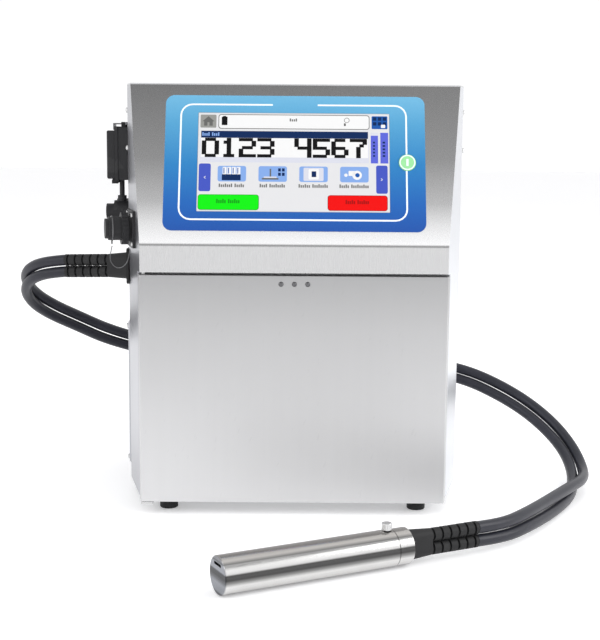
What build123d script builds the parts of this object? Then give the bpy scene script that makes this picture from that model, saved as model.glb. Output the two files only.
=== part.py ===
from build123d import *
import os
from math import atan2, cos, pi, sin, sqrt, tan

# Date code inkjet printer: a stainless cabinet with a leaning touch panel, and a tube printhead on a
# twin-hose umbilical. Millimetres, +Z up, the door's face towards -Y. The cabinet's centre line is x = 0 and
# the door's face is y = 0 until the whole object is set on its own centre at the end.

# ---- cabinet shell
front_width = 359.0      # across the door's face
body_width = 408.0       # across the straight rear part
flare_depth = 102.0      # depth over which the sides flare out
depth = 290.0
height = 507.0
panel_bottom = 18.0      # underside of the side panels and the base pan
nose_bottom = 289.0      # underside of the fixed band above the door
nose_top = 321.5
nose_front = -4.0
slant_back = 67.5        # how far back the leaning face's top edge is
sheet = 1.5
panel_front = 15.0       # where the side panels start behind the door's returns
flange_depth = 28.0      # depth of the hood's bottom flange
seam = 0.3               # gap between panels that meet
vent_x = 120.0           # middle of the slots in the back panel
vent_z = 225.0

# ---- door
door_bottom = 14.6
door_top = 286.0
door_sheet = 1.2
door_return = 13.0
door_lip = 12.0
hinge_inset = 4.2        # hinge axis in from the door's outer edge, at the door's face
hinge_back = 9.0         # hinge axis behind the door's face
hinge_pin_r = 2.5
pin_clearance = 0.05
pin_reach = 7.0          # how far each hinge pin reaches into the door
frame_gap = 5.0          # door frame behind the door's returns
frame_rail = 30.0

# ---- leaning display face
overlay_width = 305.2
overlay_height = 166.5
overlay_middle = 100.2   # up the slope from the nose's edge
overlay_corner = 10.5
overlay_thick = 0.8
screen_width = 225.0
screen_height = 122.0
screen_x = -1.5
screen_middle = 101.0
screen_gap = 0.2
screen_thick = 2.2
module_border = 8.0
module_thick = 12.0
button_x = 131.5
button_up = 101.4
button_r = 10.0
button_gap = 0.3
button_proud = 1.6
button_travel = 0.6

# ---- fasteners and feet
foot_r = 11.0
foot_x = 149.6
foot_front = 31.6
foot_rear = depth - 40.0
foot_bolt_r = 2.5
stand_spacing_x = 372.0
stand_spacing_y = 120.0
stand_hole_r = 4.25
stand_middle_y = 200.0
screw_head_r = 3.2
screw_head_high = 3.6
screw_r = 2.0
side_screws = [(114.0, height - 31.0), (112.0, 430.0), (depth - 20.0, height - 31.0), (depth - 20.0, 330.0),
               (depth - 20.0, 40.0)]

# ---- left side: inlet box, connectors, umbilical
box_y = 155.0
box_width = 56.0
box_low = 390.0
box_high = 455.0
box_deep = 19.7
box_wall = 2.5
cover_deep = 9.5
cover_gap = 0.4
lid_pin_r = 1.2
latch_width = 18.0
lead_r = 3.2
lead_gap = 0.1
plug_x = 218.5           # the lead's distance out from the middle plane
plug_up = 20.0           # plug sleeve's reach above the plug's axis
plate_width = 58.0
plate_high = 44.0
plate_thick = 3.0
plate_y = 62.0
socket_r = 11.5
socket_long = 16.0
socket_bore_r = 8.5
cap_wall = 0.05          # cap's running clearance on its socket
cap_skirt_r = 19.2
cap_body_r = 12.6
cap_long = 26.0
connector_front_z = 335.0
connector_rear_z = 350.0
connector_rear_y = 196.0
gland_y = 112.0
gland_z = 285.0
access_low = 34.0
access_high = 217.0
access_front = 108.0
access_rear = 262.0
access_proud = 3.0
access_rim = 14.0

# ---- twin boots and hoses
hose_r = 6.9
hose_pitch = 14.7        # between the two hoses' centre lines
boot_base_long = 25.0
boot_long = 85.0
boot_root = 5.0
boot_yaw = 18.0          # degrees that the cabinet's boot points backwards
boot_droop = 2.5
boot_finger_r = 7.3
boot_base_r = 9.6
slot_pitch = 10.6
slot_width = 2.6
slot_deep = 2.4
lanyard_r = 0.5
rest_x = 0.0             # bracket behind the cabinet that carries the hoses
rest_y = 335.5
rest_z = 114.2
rest_width = 30.0

# ---- printhead
head_r = 20.0
head_wall = 1.5
head_tip = (-72.7, -271.5)
head_turn = 26.9         # degrees from +X to the head's axis
cover_long = 198.0
collar_long = 18.2
collar_r = 19.7
collar_bore = 12.0
spigot_long = 14.0
spigot_clearance = 0.05
end_thick = 2.0
slot_up = 11.5
head_slot_wide = 17.0
head_slot_high = 3.0
thumb_back = 5.6         # thumbscrew in front of the seam
thumb_r = 5.4
thumb_high = 8.0
thumb_shank_r = 2.5
thread_gap = 0.05
boot_behind = 4.5        # head boot's base behind the collar, on its root
deck_thick = 4.0

# ---- service bay
cartridge_wide = 64.0
cartridge_deep = 90.0
cartridge_high = 170.0
cartridge_front = 36.0
cartridge_gap = 0.6
cartridge_floor = 26.0
ink_x = -128.0
solvent_x = -48.0
dock_wall = 3.0
dock_high = 30.0
tank_box = (18.0, 168.0, 120.0, 250.0, 22.0, 140.0)
filter_r = 28.0
filter_high = 92.0
pump_x = 60.0
pump_y = 60.0
pump_z = 62.0
shaft_r = 3.0
fan_size = 80.0
fan_thick = 25.0
fan_x = -130.0
fan_z = 430.0
fan_bore_r = 38.0

flare = (body_width - front_width) / 2 / flare_depth
flare_secant = sqrt(1 + flare ** 2)
lean = atan2(slant_back - nose_front, height - nose_top)
shelf_top = nose_bottom + sheet
bay_floor = panel_bottom + sheet
slope = Plane(origin=(0, nose_front, nose_top), x_dir=(1, 0, 0), z_dir=(0, -cos(lean), sin(lean)))
nodes = {}
cord_names = ["umbilical_hose_a", "umbilical_hose_b", "lanyard_front", "lanyard_rear"]


# ---- shapes used throughout
def block(x0, x1, y0, y1, z0, z1):
    return Pos((x0 + x1) / 2, (y0 + y1) / 2, (z0 + z1) / 2) * Box(abs(x1 - x0), abs(y1 - y0), abs(z1 - z0))


def rod(radius, start, end):
    start, end = Vector(*start), Vector(*end)
    span = end - start
    along = Plane(origin=start, z_dir=span)
    return along * Cylinder(radius, span.length, align=(Align.CENTER, Align.CENTER, Align.MIN))


def disc(radius, low, high):
    return Pos(0, 0, low) * Cylinder(radius, high - low, align=(Align.CENTER, Align.CENTER, Align.MIN))


def slab(wide, high, corner, low, top):
    return Pos(0, 0, low) * extrude(RectangleRounded(wide, high, corner), top - low, dir=(0, 0, 1))


def group(solids):
    return Compound(children=[s for part in solids for s in part.solids()])


def half_width(y, inset=0.0):
    return min(front_width / 2 + flare * y - inset * flare_secant, body_width / 2 - inset)


def plan_prism(inset, y0, y1, z0, z1):
    bend = (body_width / 2 - inset - front_width / 2 + inset * flare_secant) / flare
    right = [(half_width(y0, inset), y0)]
    if y0 < bend < y1:
        right.append((half_width(bend, inset), bend))
    right.append((half_width(y1, inset), y1))
    left = [(-x, y) for x, y in reversed(right)]
    return Pos(0, 0, z0) * extrude(Polygon(*right, *left, align=None), z1 - z0, dir=(0, 0, 1))


def profile_prism(points):
    return extrude(Plane.YZ * Polygon(*points, align=None), body_width / 2 + 5, both=True, dir=(1, 0, 0))


def slant_y(z, inset=0.0):
    along = (z - nose_top + inset * sin(lean)) / cos(lean)
    return nose_front + inset * cos(lean) + along * sin(lean)


def nose_corner(inset):
    return nose_top - inset * sin(lean) + inset * (1 - cos(lean)) / sin(lean) * cos(lean)


def left_face(y, z):
    """Plane on the left wall's outside, its normal outwards and its x upwards."""
    normal = (-1, -flare, 0) if y < flare_depth else (-1, 0, 0)
    return Plane(origin=(-half_width(y), y, z), x_dir=(0, 0, 1), z_dir=normal)


def screw(plane, head_r, head_high, shank_r, shank_long):
    head = disc(head_r, 0, head_high)
    head = fillet(head.edges().group_by(Axis.Z)[-1], head_high * 0.45)
    recess = Pos(0, 0, head_high) * extrude(RegularPolygon(head_r * 0.42, 6), -head_high * 0.5)
    return plane * (head + disc(shank_r, -shank_long, 0) - recess)


# ---- cabinet panels
def make_side_panel(hand):
    walls = plan_prism(0, nose_front, depth, panel_bottom, height) - plan_prism(
        sheet, nose_front - 1, depth + 1, panel_bottom - 1, height + 1)
    top = height - sheet
    outline = [(panel_front, panel_bottom), (panel_front, nose_bottom - seam),
               (nose_front + sheet, nose_bottom - seam),
               (nose_front + sheet, nose_corner(sheet)), (slant_y(top, sheet), top), (depth, top),
               (depth, panel_bottom)]
    half = block(0, hand * body_width, -50, depth + 50, 0, height + 50)
    panel = walls & profile_prism(outline) & half
    for y, z in side_screws:
        panel -= rod(screw_r + 0.2, (hand * body_width / 2 * 0.9, y, z), (hand * body_width / 2 * 1.1, y, z))
    return panel


def make_left_panel():
    panel = make_side_panel(-1)
    panel -= left_face(plate_y, connector_front_z) * disc(socket_r + 1, -8, 8)
    for y, z in [(box_y, connector_rear_z), (connector_rear_y, connector_rear_z)]:
        panel -= left_face(y, z) * disc(socket_r + 1, -8, 8)
    panel -= left_face(box_y, (box_low + box_high) / 2) * slab(
        box_high - box_low - 20, box_width - 20, 3, -8, 8)
    panel -= left_face(gland_y, gland_z) * slab(2 * boot_base_r + hose_pitch - 6, 12, 5.5, -8, 8)
    inset = 14
    window = block(-body_width, -body_width / 2 + 8, access_front + inset, access_rear - inset,
                   access_low + inset, access_high - inset)
    return panel - window


def make_hood():
    top = height - sheet
    outline = [(nose_front, nose_bottom), (nose_front, nose_top), (slant_y(top), top),
               (slant_y(top, sheet), top),
               (nose_front + sheet, nose_corner(sheet)), (nose_front + sheet, nose_bottom)]
    face = profile_prism(outline) & plan_prism(0, nose_front - 1, depth, nose_bottom, height)
    flange = plan_prism(sheet + seam, nose_front + sheet / 2, flange_depth, nose_bottom, nose_bottom + sheet)
    hood = face + flange
    bend = hood.edges().filter_by(Axis.X).sort_by_distance(Vector(0, nose_front, nose_top))[0]
    hood = fillet(bend, 2.2)
    low = hood.edges().filter_by(Axis.X).sort_by_distance(Vector(0, nose_front, nose_bottom))[0]
    hood = fillet(low, 1.2)
    window = slab(screen_width + 2 * screen_gap, screen_height + 2 * screen_gap, 1.5, -6, 6)
    hood -= slope * Pos(screen_x, screen_middle, 0) * window
    hood -= slope * Pos(button_x, button_up, 0) * disc(button_r + button_gap, -6, 6)
    x, y = hinge_axis()
    return hood - rod(hinge_pin_r + pin_clearance, (x, y, nose_bottom - 1), (x, y, shelf_top + 1))


def make_base():
    plate = plan_prism(sheet, panel_front + 2, depth - sheet, panel_bottom, bay_floor)
    for x in (-foot_x, foot_x):
        for y in (foot_front, foot_rear):
            plate -= rod(foot_bolt_r + 0.2, (x, y, 0), (x, y, 40))
    for x in (-stand_spacing_x / 2, stand_spacing_x / 2):
        for y in (stand_middle_y - stand_spacing_y / 2, stand_middle_y + stand_spacing_y / 2):
            plate -= rod(stand_hole_r, (x, y, 0), (x, y, 40))
    x, y = hinge_axis()
    arm = block(x - 5, x + 9, y - 6, panel_front + 14, door_bottom - 4.1, door_bottom - 1.1)
    riser = block(x - 5, x + 9, panel_front + 4, panel_front + 14, door_bottom - 4.1, panel_bottom)
    bracket = arm + riser - rod(hinge_pin_r, (x, y, 0), (x, y, door_bottom))
    return plate, bracket


def hinge_axis():
    return (-front_width / 2 + hinge_inset, hinge_back)


def make_top():
    top = plan_prism(0, slant_y(height), depth, height - sheet, height)
    reach = body_width / 2 - sheet - seam
    for hand in (-1, 1):
        lip = block(hand * reach, hand * (reach - sheet), flare_depth + 8, depth - 6, height - 16,
                    height - sheet)
        for y, z in side_screws:
            lip -= rod(screw_r + 0.1, (hand * (reach - 8), y, z), (hand * (reach + 8), y, z))
        top += lip
    return top


def make_back():
    reach = body_width / 2 - sheet - seam
    panel = block(-reach, reach, depth - sheet, depth, bay_floor + seam, height - sheet - seam)
    for hand in (-1, 1):
        lip = block(hand * reach, hand * (reach - sheet), depth - 34, depth - sheet, bay_floor + seam,
                    height - 20)
        for y, z in side_screws:
            lip -= rod(screw_r + 0.1, (hand * (reach - 8), y, z), (hand * (reach + 8), y, z))
        panel += lip
    panel -= rod(fan_bore_r, (fan_x, depth - 9, fan_z), (fan_x, depth + 9, fan_z))
    panel -= [block(vent_x - 38, vent_x + 38, depth - 9, depth + 9, vent_z + 9 * i, vent_z + 9 * i + 4.5)
              for i in range(-4, 5)]
    return panel


nodes["left_side_panel"] = make_left_panel()
nodes["right_side_panel"] = make_side_panel(1)
nodes["hood_panel"] = make_hood()
nodes["top_cover"] = make_top()
nodes["back_panel"] = make_back()
nodes["base_pan"], lower_bracket = make_base()
shelf = plan_prism(sheet + seam, flange_depth + seam, depth - 36, nose_bottom, shelf_top)
shelf -= rod(14, (-20, 200, nose_bottom - 5), (-20, 200, shelf_top + 5))
nodes["middle_shelf"] = shelf

frame_y = door_return + frame_gap
frame = plan_prism(sheet + seam, frame_y, frame_y + sheet, bay_floor + seam, nose_bottom - seam)
frame -= block(-half_width(0) + frame_rail, half_width(0) - frame_rail, 0, 60, bay_floor + 22,
               nose_bottom - 22)
nodes["door_frame"] = frame

feet, bolts = [], []
for x in (-foot_x, foot_x):
    for y in (foot_front, foot_rear):
        foot = disc(foot_r, 0, panel_bottom)
        foot = fillet(foot.edges().group_by(Axis.Z)[0], 1.5)
        feet.append(Pos(x, y, 0) * (foot - disc(6.5, -1, 8) - disc(foot_bolt_r + 0.2, -1, panel_bottom + 1)))
        under = Plane(origin=(x, y, 8), z_dir=(0, 0, -1))
        bolts.append(screw(under, 4.6, 3.5, foot_bolt_r, panel_bottom - 8 + sheet - 0.1))
nodes["rubber_feet"] = group(feet)
nodes["foot_screws"] = group(bolts)

screws = []
for hand in (-1, 1):
    for y, z in side_screws:
        wall = Plane(origin=(hand * body_width / 2, y, z), x_dir=(0, 0, 1), z_dir=(hand, 0, 0))
        screws.append(screw(wall, screw_head_r, screw_head_high, screw_r, 9))

access = plan_prism(-access_proud, access_front, access_rear, access_low, access_high) & block(
    -body_width, -body_width / 2, 0, depth, 0, height)
outer = access.faces().sort_by(Axis.X)[0]
access = chamfer(outer.edges(), access_proud * 0.8)
access -= block(-body_width, -body_width / 2, access_front + access_rim, access_rear - access_rim,
                access_low + access_rim, access_high - access_rim) & block(
    -body_width / 2 - access_proud + sheet, 0, 0, depth, 0, height)
nodes["left_access_plate"] = access
for y in (access_front + 8, access_rear - 8):
    for z in (access_low + 7, access_high - 8):
        wall = Plane(origin=(-body_width / 2 - access_proud, y, z), x_dir=(0, 0, 1), z_dir=(-1, 0, 0))
        nodes["left_access_plate"] -= wall * disc(screw_r + 0.1, -20, 5)
        nodes["left_side_panel"] -= wall * disc(screw_r + 0.1, -20, 5)
        screws.append(screw(wall, screw_head_r, 2.6, screw_r, 10))


# ---- door
def make_door():
    skin = plan_prism(0, 0, door_return, door_bottom, door_top)
    skin = fillet(skin.faces().sort_by(Axis.Y)[0].edges(), 1.1)
    hollow = plan_prism(door_sheet, door_sheet, door_return + 1, door_bottom + door_sheet,
                        door_top - door_sheet)
    lips = plan_prism(door_sheet, door_return - door_sheet, door_return, door_bottom + door_sheet,
                      door_top - door_sheet)
    inner = half_width(door_return) - door_lip
    lips -= block(-inner, inner, 0, 40, door_bottom + door_lip, door_top - door_lip)
    x, y = hinge_axis()
    door = skin - hollow + lips
    return door - rod(hinge_pin_r + pin_clearance, (x, y, door_bottom - 9), (x, y, door_top + 9))


nodes["front_door"] = make_door()
hinge_x, hinge_y = hinge_axis()
lower_pin = rod(hinge_pin_r, (hinge_x, hinge_y, door_bottom - 4.1),
                (hinge_x, hinge_y, door_bottom + pin_reach))
upper_pin = rod(hinge_pin_r, (hinge_x, hinge_y, door_top - pin_reach), (hinge_x, hinge_y, shelf_top + 6))
upper = block(hinge_x - 3, hinge_x + 9, hinge_y - 4, hinge_y + 8, shelf_top, shelf_top + 6)
nodes["door_hinge_brackets"] = group([lower_bracket + lower_pin, upper + upper_pin])

studs = []
for x in (-15.0, 0.5, 16.0):
    dome = Sphere(3.4) & block(-5, 5, -5, 5, 1.6, 5)
    seat = Plane(origin=(x, 1.6, door_top - 10.0), z_dir=(0, -1, 0))
    studs.append(seat * (dome + disc(1.4, -2.0, 1.6)))
stud_holes = group([Pos(x, 0, door_top - 10.0) * rod(1.4, (0, -1, 0), (0, 4, 0)) for x in (-15.0, 0.5, 16.0)])
nodes["front_door"] -= stud_holes
nodes["door_studs"] = group(studs)

seal_out = half_width(0) - frame_rail + 14
seal_in = seal_out - 8
seal = block(-seal_out, seal_out, door_return + 0.6, frame_y, door_bottom + 16, door_top - 13)
seal -= block(-seal_in, seal_in, frame_y - 9, frame_y + 9, door_bottom + 24, door_top - 21)
nodes["door_seal"] = seal

nodes["door_magnets"] = group([block(seal_out + 2, seal_out + 10, door_return + 0.5, frame_y, z - 14, z + 14)
                               for z in (80.0, 220.0)])

# ---- display and power button
overlay = slab(overlay_width, overlay_height, overlay_corner, 0, overlay_thick)
overlay = Pos(0, overlay_middle, 0) * overlay
overlay -= Pos(screen_x, screen_middle, 0) * slab(screen_width, screen_height, 1.0, -1, 2)
overlay -= Pos(button_x, button_up, 0) * disc(button_r + button_gap, -1, 2)
nodes["overlay_panel"] = slope * overlay
glass = slab(screen_width - 2 * screen_gap, screen_height - 2 * screen_gap, 0.8,
             overlay_thick - 0.1 - screen_thick,
             overlay_thick - 0.1)
nodes["screen_glass"] = slope * Pos(screen_x, screen_middle, 0) * glass
module_top = -sheet
module = slab(screen_width + 2 * module_border, screen_height + 2 * module_border, 3,
              module_top - module_thick,
              module_top)
posts = [Pos(x, y, 0) * disc(3, module_top - module_thick - 6, module_top - module_thick)
         for x in (-90, 90) for y in (-45, 45)]
board_low = module_top - module_thick - 6 - 1.6
board = slab(204, 112, 2, board_low, board_low + 1.6)
board += [Pos(x, y, board_low - 2) * Box(w, h, 4) for x, y, w, h in
          [(-40, 10, 28, 28), (30, 20, 16, 22), (60, -25, 40, 14), (-70, -30, 12, 30)]]
nodes["display_module"] = slope * Pos(screen_x, screen_middle, 0) * (module + posts + board)

cap = disc(button_r, -sheet + 0.2, button_proud)
cap = fillet(cap.edges().group_by(Axis.Z)[-1], 0.6)
button = cap + disc(button_r + 1.8, -sheet - 2.6, -sheet - 1.0) + disc(button_r - 1, -sheet - 1.2, 0)
button += disc(2.6, -9.5, -sheet - 2.0)
button_place = slope * Pos(button_x, button_up, 0)
nodes["power_button"] = button_place * button
switch = Pos(0, 0, -14) * Box(12, 12, 5) + disc(2.0, -12, -9.5 - 2 * button_travel)
switch += Pos(3, 0, -17.3) * Box(28, 30, 1.6)
switch += [Pos(x, y, 0) * disc(2, -17, -sheet) for x in (-8, 14.5) for y in (-12.5, 12.5)]
nodes["button_switch"] = button_place * switch

# ---- inlet box on the left wall
wall_x = -body_width / 2
y0, y1 = box_y - box_width / 2, box_y + box_width / 2
base_out = wall_x - box_deep
base = block(wall_x, base_out, y0, y1, box_low, box_high)
base -= block(wall_x - 1.5, base_out - 1, y0 + box_wall, y1 - box_wall, box_low + box_wall,
              box_high - box_wall)
rim = block(base_out + 4, base_out, y0 - 1.5, y1 + 1.5, box_low - 0.5, box_high + 1.0)
rim -= block(base_out + 5, base_out - 1, y0 + box_wall, y1 - box_wall, box_low + box_wall,
             box_high - box_wall)
base = base + rim
base -= block(wall_x + 1, wall_x - 3, y0 + 14, y1 - 14, box_low + 14, box_high - 14)
base -= rod(lead_r + lead_gap, (-plug_x, box_y, box_low - 9), (-plug_x, box_y, box_low + box_wall + 1))
hinge_low = (base_out - 2.2, box_low - 2.2)
ears = []
for y in (y0 + 6, y1 - 11):
    ear = block(base_out + 3, hinge_low[0] - 2.4, y, y + 5, box_low - 4.6, box_low + 0.2)
    ears.append(ear - rod(lid_pin_r, (hinge_low[0], y0, hinge_low[1]), (hinge_low[0], y1, hinge_low[1])))
base += ears
cover_x = base_out - cover_gap
cover = block(cover_x, cover_x - cover_deep, y0, y1, box_low + 1.5, box_high - 4.0)
cover = fillet(cover.faces().sort_by(Axis.X)[0].edges(), 2.4)
cover -= block(cover_x + 1, cover_x - cover_deep + 2, y0 + 2, y1 - 2, box_low + 3.5, box_high - 6)
knuckle = block(cover_x - 0.1, hinge_low[0] - 2.4, y0 + 12, y1 - 12, box_low - 4.6, box_low + 2.5)
cover += knuckle
cover -= rod(lid_pin_r + pin_clearance, (hinge_low[0], y0, hinge_low[1]), (hinge_low[0], y1, hinge_low[1]))
nodes["inlet_box_cover"] = cover
cover_pin = rod(lid_pin_r, (hinge_low[0], y0 + 6, hinge_low[1]), (hinge_low[0], y1 - 6, hinge_low[1]))
latch_axis = (base_out + 9.0, box_high + 4.4)
mounts = []
for side in (-1, 1):
    y = box_y + side * (latch_width / 2 + 2.2)
    ear = block(latch_axis[0] - 2.4, latch_axis[0] + 2.4, y - 1.2, y + 1.2, box_high - 0.5,
                latch_axis[1] + 2.2)
    mounts.append(ear - rod(lid_pin_r, (latch_axis[0], y - 5, latch_axis[1]),
                            (latch_axis[0], y + 5, latch_axis[1])))
lever = block(latch_axis[0] + 2.2, latch_axis[0] - 13.0, box_y - latch_width / 2, box_y + latch_width / 2,
              latch_axis[1] - 0.8, latch_axis[1] + 0.8)
lever += rod(2.2, (latch_axis[0], box_y - latch_width / 2, latch_axis[1]),
             (latch_axis[0], box_y + latch_width / 2, latch_axis[1]))
lever += block(latch_axis[0] - 11.4, latch_axis[0] - 13.0, box_y - latch_width / 2, box_y + latch_width / 2,
               box_high - 3.2, latch_axis[1])
lever -= rod(lid_pin_r + pin_clearance, (latch_axis[0], box_y - 20, latch_axis[1]),
             (latch_axis[0], box_y + 20, latch_axis[1]))
nodes["box_latch"] = lever
reach = latch_width / 2 + 3.4
latch_pin = rod(lid_pin_r, (latch_axis[0], box_y - reach, latch_axis[1]),
                (latch_axis[0], box_y + reach, latch_axis[1]))
insert = block(wall_x - 4.0, wall_x - 13, y0 + 8, y1 - 8, box_low + 16, box_high - 10)
insert -= [block(wall_x - 9, wall_x - 20, y - 2, y + 2, z - 2, z + 2)
           for y in (box_y - 12, box_y - 4, box_y + 4, box_y + 12) for z in (box_low + 26, box_low + 42)]
legs = [block(wall_x - 1.5, wall_x - 4.5, y - 2, y + 2, box_low + 26, box_low + 44)
        for y in (y0 + 10, y1 - 10)]
nodes["inlet_box_base"] = base + mounts + insert + legs + cover_pin + latch_pin

# ---- round connectors, caps and link lead
connector_places = [left_face(plate_y, connector_front_z), left_face(box_y, connector_rear_z),
                    left_face(connector_rear_y, connector_rear_z)]
plate = left_face(plate_y, connector_front_z) * slab(plate_high, plate_width, 3, 0, plate_thick)
plate -= connector_places[0] * disc(socket_r + 0.2, -4, 9)
for up in (-1, 1):
    for along in (-1, 1):
        spot = connector_places[0] * Pos(up * (plate_high / 2 - 5), along * (plate_width / 2 - 5),
                                         plate_thick)
        plate -= spot * disc(1.6, -9, 9)
        nodes["left_side_panel"] -= spot * disc(1.6, -9, 9)
        screws.append(screw(Plane(spot), 2.8, 1.8, 1.5, 7))
nodes["connector_plate"] = plate
nodes["panel_screws"] = group(screws)

sockets = []
for index, place in enumerate(connector_places):
    base_high = plate_thick if index == 0 else 0.0
    shell = disc(socket_r, base_high, base_high + socket_long) + disc(socket_r, -6, base_high + 1)
    shell += slab(29, 29, 3, base_high, base_high + 2.4)
    shell -= disc(socket_bore_r, base_high + 4, base_high + socket_long + 1)
    pins = [Rot(0, 0, 60 * i) * Pos(4.5, 0, 0) * disc(1.0, base_high + 3.5, base_high + 12) for i in range(6)]
    sockets.append(place * (shell + pins))
nodes["side_connectors"] = group(sockets)


def make_cap(skirt_r):
    bottom = 3.0
    cap = disc(skirt_r, bottom, bottom + 8) + disc(cap_body_r + 1.4, bottom + 8, cap_long)
    cap += disc(skirt_r * 0.52 + 2, cap_long - 0.5, cap_long + 4)
    knurls = [Rot(0, 0, 15 * i) * Pos(skirt_r + 0.6, 0, bottom + 0.8) * Box(1.8, 1.6, 6.4,
              align=(Align.CENTER, Align.CENTER, Align.MIN)) for i in range(24)]
    groove = disc(cap_body_r + 4, cap_long - 5.5, cap_long - 3.0) - disc(cap_body_r, cap_long - 6, cap_long)
    hollow = disc(socket_r + cap_wall, -1, socket_long + 1.0)
    return cap - knurls - groove - hollow


ring = disc(cap_body_r + 2.4, cap_long - 5.0, cap_long - 3.5)
ring -= disc(cap_body_r + 0.35, cap_long - 6, cap_long)
eye = Pos(-cap_body_r - 3.6, 0, 0) * disc(2.6, cap_long - 5.0, cap_long - 3.5)
ring += eye
front_cap = connector_places[0].offset(plate_thick)
rear_cap = connector_places[2]
nodes["dust_cap_front"] = front_cap * make_cap(cap_skirt_r)
nodes["dust_cap_rear"] = rear_cap * make_cap(cap_skirt_r - 3.0)
nodes["lanyard_rings"] = group([front_cap * ring, rear_cap * ring])

plug_out = plug_x - body_width / 2
plug = disc(socket_r + 2.2, 2.7, 24) + disc(9.5, 24, 34) - disc(socket_r + cap_wall, 0, socket_long + 0.5)
sleeve = rod(5.6, (11, 0, plug_out), (plug_up, 0, plug_out))
sleeve -= disc(socket_r + cap_wall, 0, 40)
lead = rod(lead_r, (-plug_x, box_y, connector_rear_z + plug_up), (-plug_x, box_y, box_low + box_wall))
nodes["link_lead_plug"] = connector_places[1] * (plug + sleeve) + lead


# ---- umbilical: twin boots, hoses and the rest that carries them behind the cabinet
def make_boot():
    """Twin boot along +X from its face at x = 0, with a root behind it, its fingers one above the other."""
    base_profile = SlotOverall(hose_pitch + 2 * boot_base_r, 2 * boot_base_r)
    small_profile = SlotOverall(hose_pitch + 2 * boot_finger_r, 2 * boot_finger_r)
    start = Plane(origin=(0, 0, 0), x_dir=(0, 0, 1), z_dir=(1, 0, 0))
    base = loft([start.offset(-boot_root) * base_profile, start.offset(boot_base_long) * small_profile])
    fingers = [rod(boot_finger_r, (boot_base_long - 1, 0, z), (boot_long, 0, z))
               for z in (-hose_pitch / 2, hose_pitch / 2)]
    boot = base + fingers
    count = int((boot_long - boot_base_long - slot_width) / slot_pitch)
    for i in range(count + 1):
        x = boot_base_long + slot_pitch * i + 0.8
        for z in (-hose_pitch / 2, hose_pitch / 2):
            groove = rod(boot_finger_r + 1, (x, 0, z), (x + slot_width, 0, z))
            groove -= rod(boot_finger_r - slot_deep, (x - 1, 0, z), (x + slot_width + 1, 0, z))
            boot -= groove
    return boot


def cord(name, points, radius):
    spots = [Vector(*p) for p in points]
    radii = []
    for before, here, after in zip(spots, spots[1:], spots[2:]):
        shorter = min((here - before).length, (after - here).length)
        turn = (here - before).get_angle(after - here) * pi / 180
        radii.append(0.45 * shorter / tan(turn / 2))
    path = FilletPolyline(*points, radius=radii)
    start = Plane(origin=points[0], z_dir=spots[1] - spots[0])
    tube = sweep(start * Circle(radius), path=path)
    print(name, len(points), "points, arc radii from", round(min(radii), 1), "mm, length",
          round(path.length, 1),
          "mm, volume ratio", round(tube.volume / (pi * radius ** 2 * path.length), 4))
    return tube


hose_a_points = [
    (-288.07, 138.34, 288.64), (-309, 145.5, 286.5), (-333.5, 162, 279.5), (-349, 184.5, 267.5),
    (-354, 212, 251), (-345, 238, 231.5), (-324.5, 262.5, 213.5), (-297.5, 288, 196), (-259.5, 309, 174.5),
    (-208.5, 324.5, 157), (-135, 333, 145.5), (-51.5, 336, 138.5), (45.5, 335, 135.5), (135.5, 333, 131.5),
    (201, 329, 126), (249.5, 316.5, 117.5), (295, 291.5, 100), (330, 262, 81), (356.5, 223.5, 60.5),
    (373, 183, 38.5), (377.5, 141.5, 19), (366.5, 96, 19.6), (342, 51.5, 22.6), (305.5, -5.5, 22.8),
    (265.5, -71, 25), (231.5, -111.5, 24.5), (199.92, -133.19, 27.35),
]
hose_b_points = [
    (-287.46, 138.14, 273.95), (-306.5, 144.5, 272), (-330, 159, 265.5), (-346, 178.5, 254.5),
    (-354, 204, 238.5), (-348.5, 231, 219), (-329.5, 257.5, 200.5), (-302.5, 284, 183),
    (-264.5, 307, 160.5), (-211.5, 323.5, 143), (-137, 333, 130.5), (-52.5, 336, 123.5), (44.5, 335, 120.5),
    (134.5, 333, 116.5), (199, 327, 112), (244.5, 313.5, 104.5), (287, 288.5, 88), (320, 258, 71),
    (343.5, 220.5, 53.5), (359, 181, 35.5), (362.5, 142.5, 19), (355, 100, 9), (339.7, 52.7, 7.3),
    (308.5, -7.5, 7.8), (268, -73, 10.5), (232.5, -112.5, 10), (199.92, -133.19, 12.65),
]

gland_face = -body_width / 2 - plate_thick
cabinet_boot = Pos(gland_face, gland_y, gland_z) * Rot(0, 0, 180 - boot_yaw) * Rot(0, boot_droop, 0)
gland = left_face(gland_y, gland_z) * slab(2 * boot_base_r + hose_pitch + 10, 2 * boot_base_r + 10, 6, 0,
                                           plate_thick)
gland_hole = left_face(gland_y, gland_z) * slab(2 * boot_base_r + hose_pitch - 6, 12, 5.5, -8, 8)
outside = block(gland_face - 2 * boot_long, gland_face, 0, depth, gland_z - 50, gland_z + 50)
nodes["cabinet_strain_relief"] = (cabinet_boot * make_boot() & outside) + (gland - gland_hole)
nodes["umbilical_hose_a"] = cord("umbilical_hose_a", hose_a_points, hose_r)
nodes["umbilical_hose_b"] = cord("umbilical_hose_b", hose_b_points, hose_r)
nodes["cabinet_strain_relief"] -= [nodes["umbilical_hose_a"], nodes["umbilical_hose_b"]]
rest_low, rest_high = rest_x - rest_width / 2, rest_x + rest_width / 2
rest = block(rest_low, rest_high, depth, depth + 2, rest_z - 26, rest_z + 30)
rest += block(rest_low, rest_high, depth, rest_y + 13, rest_z - 2.5, rest_z)
rest += block(rest_low, rest_high, rest_y + 10.5, rest_y + 13, rest_z - 2.5, rest_z + 30)
nodes["umbilical_rest"] = rest

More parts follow.
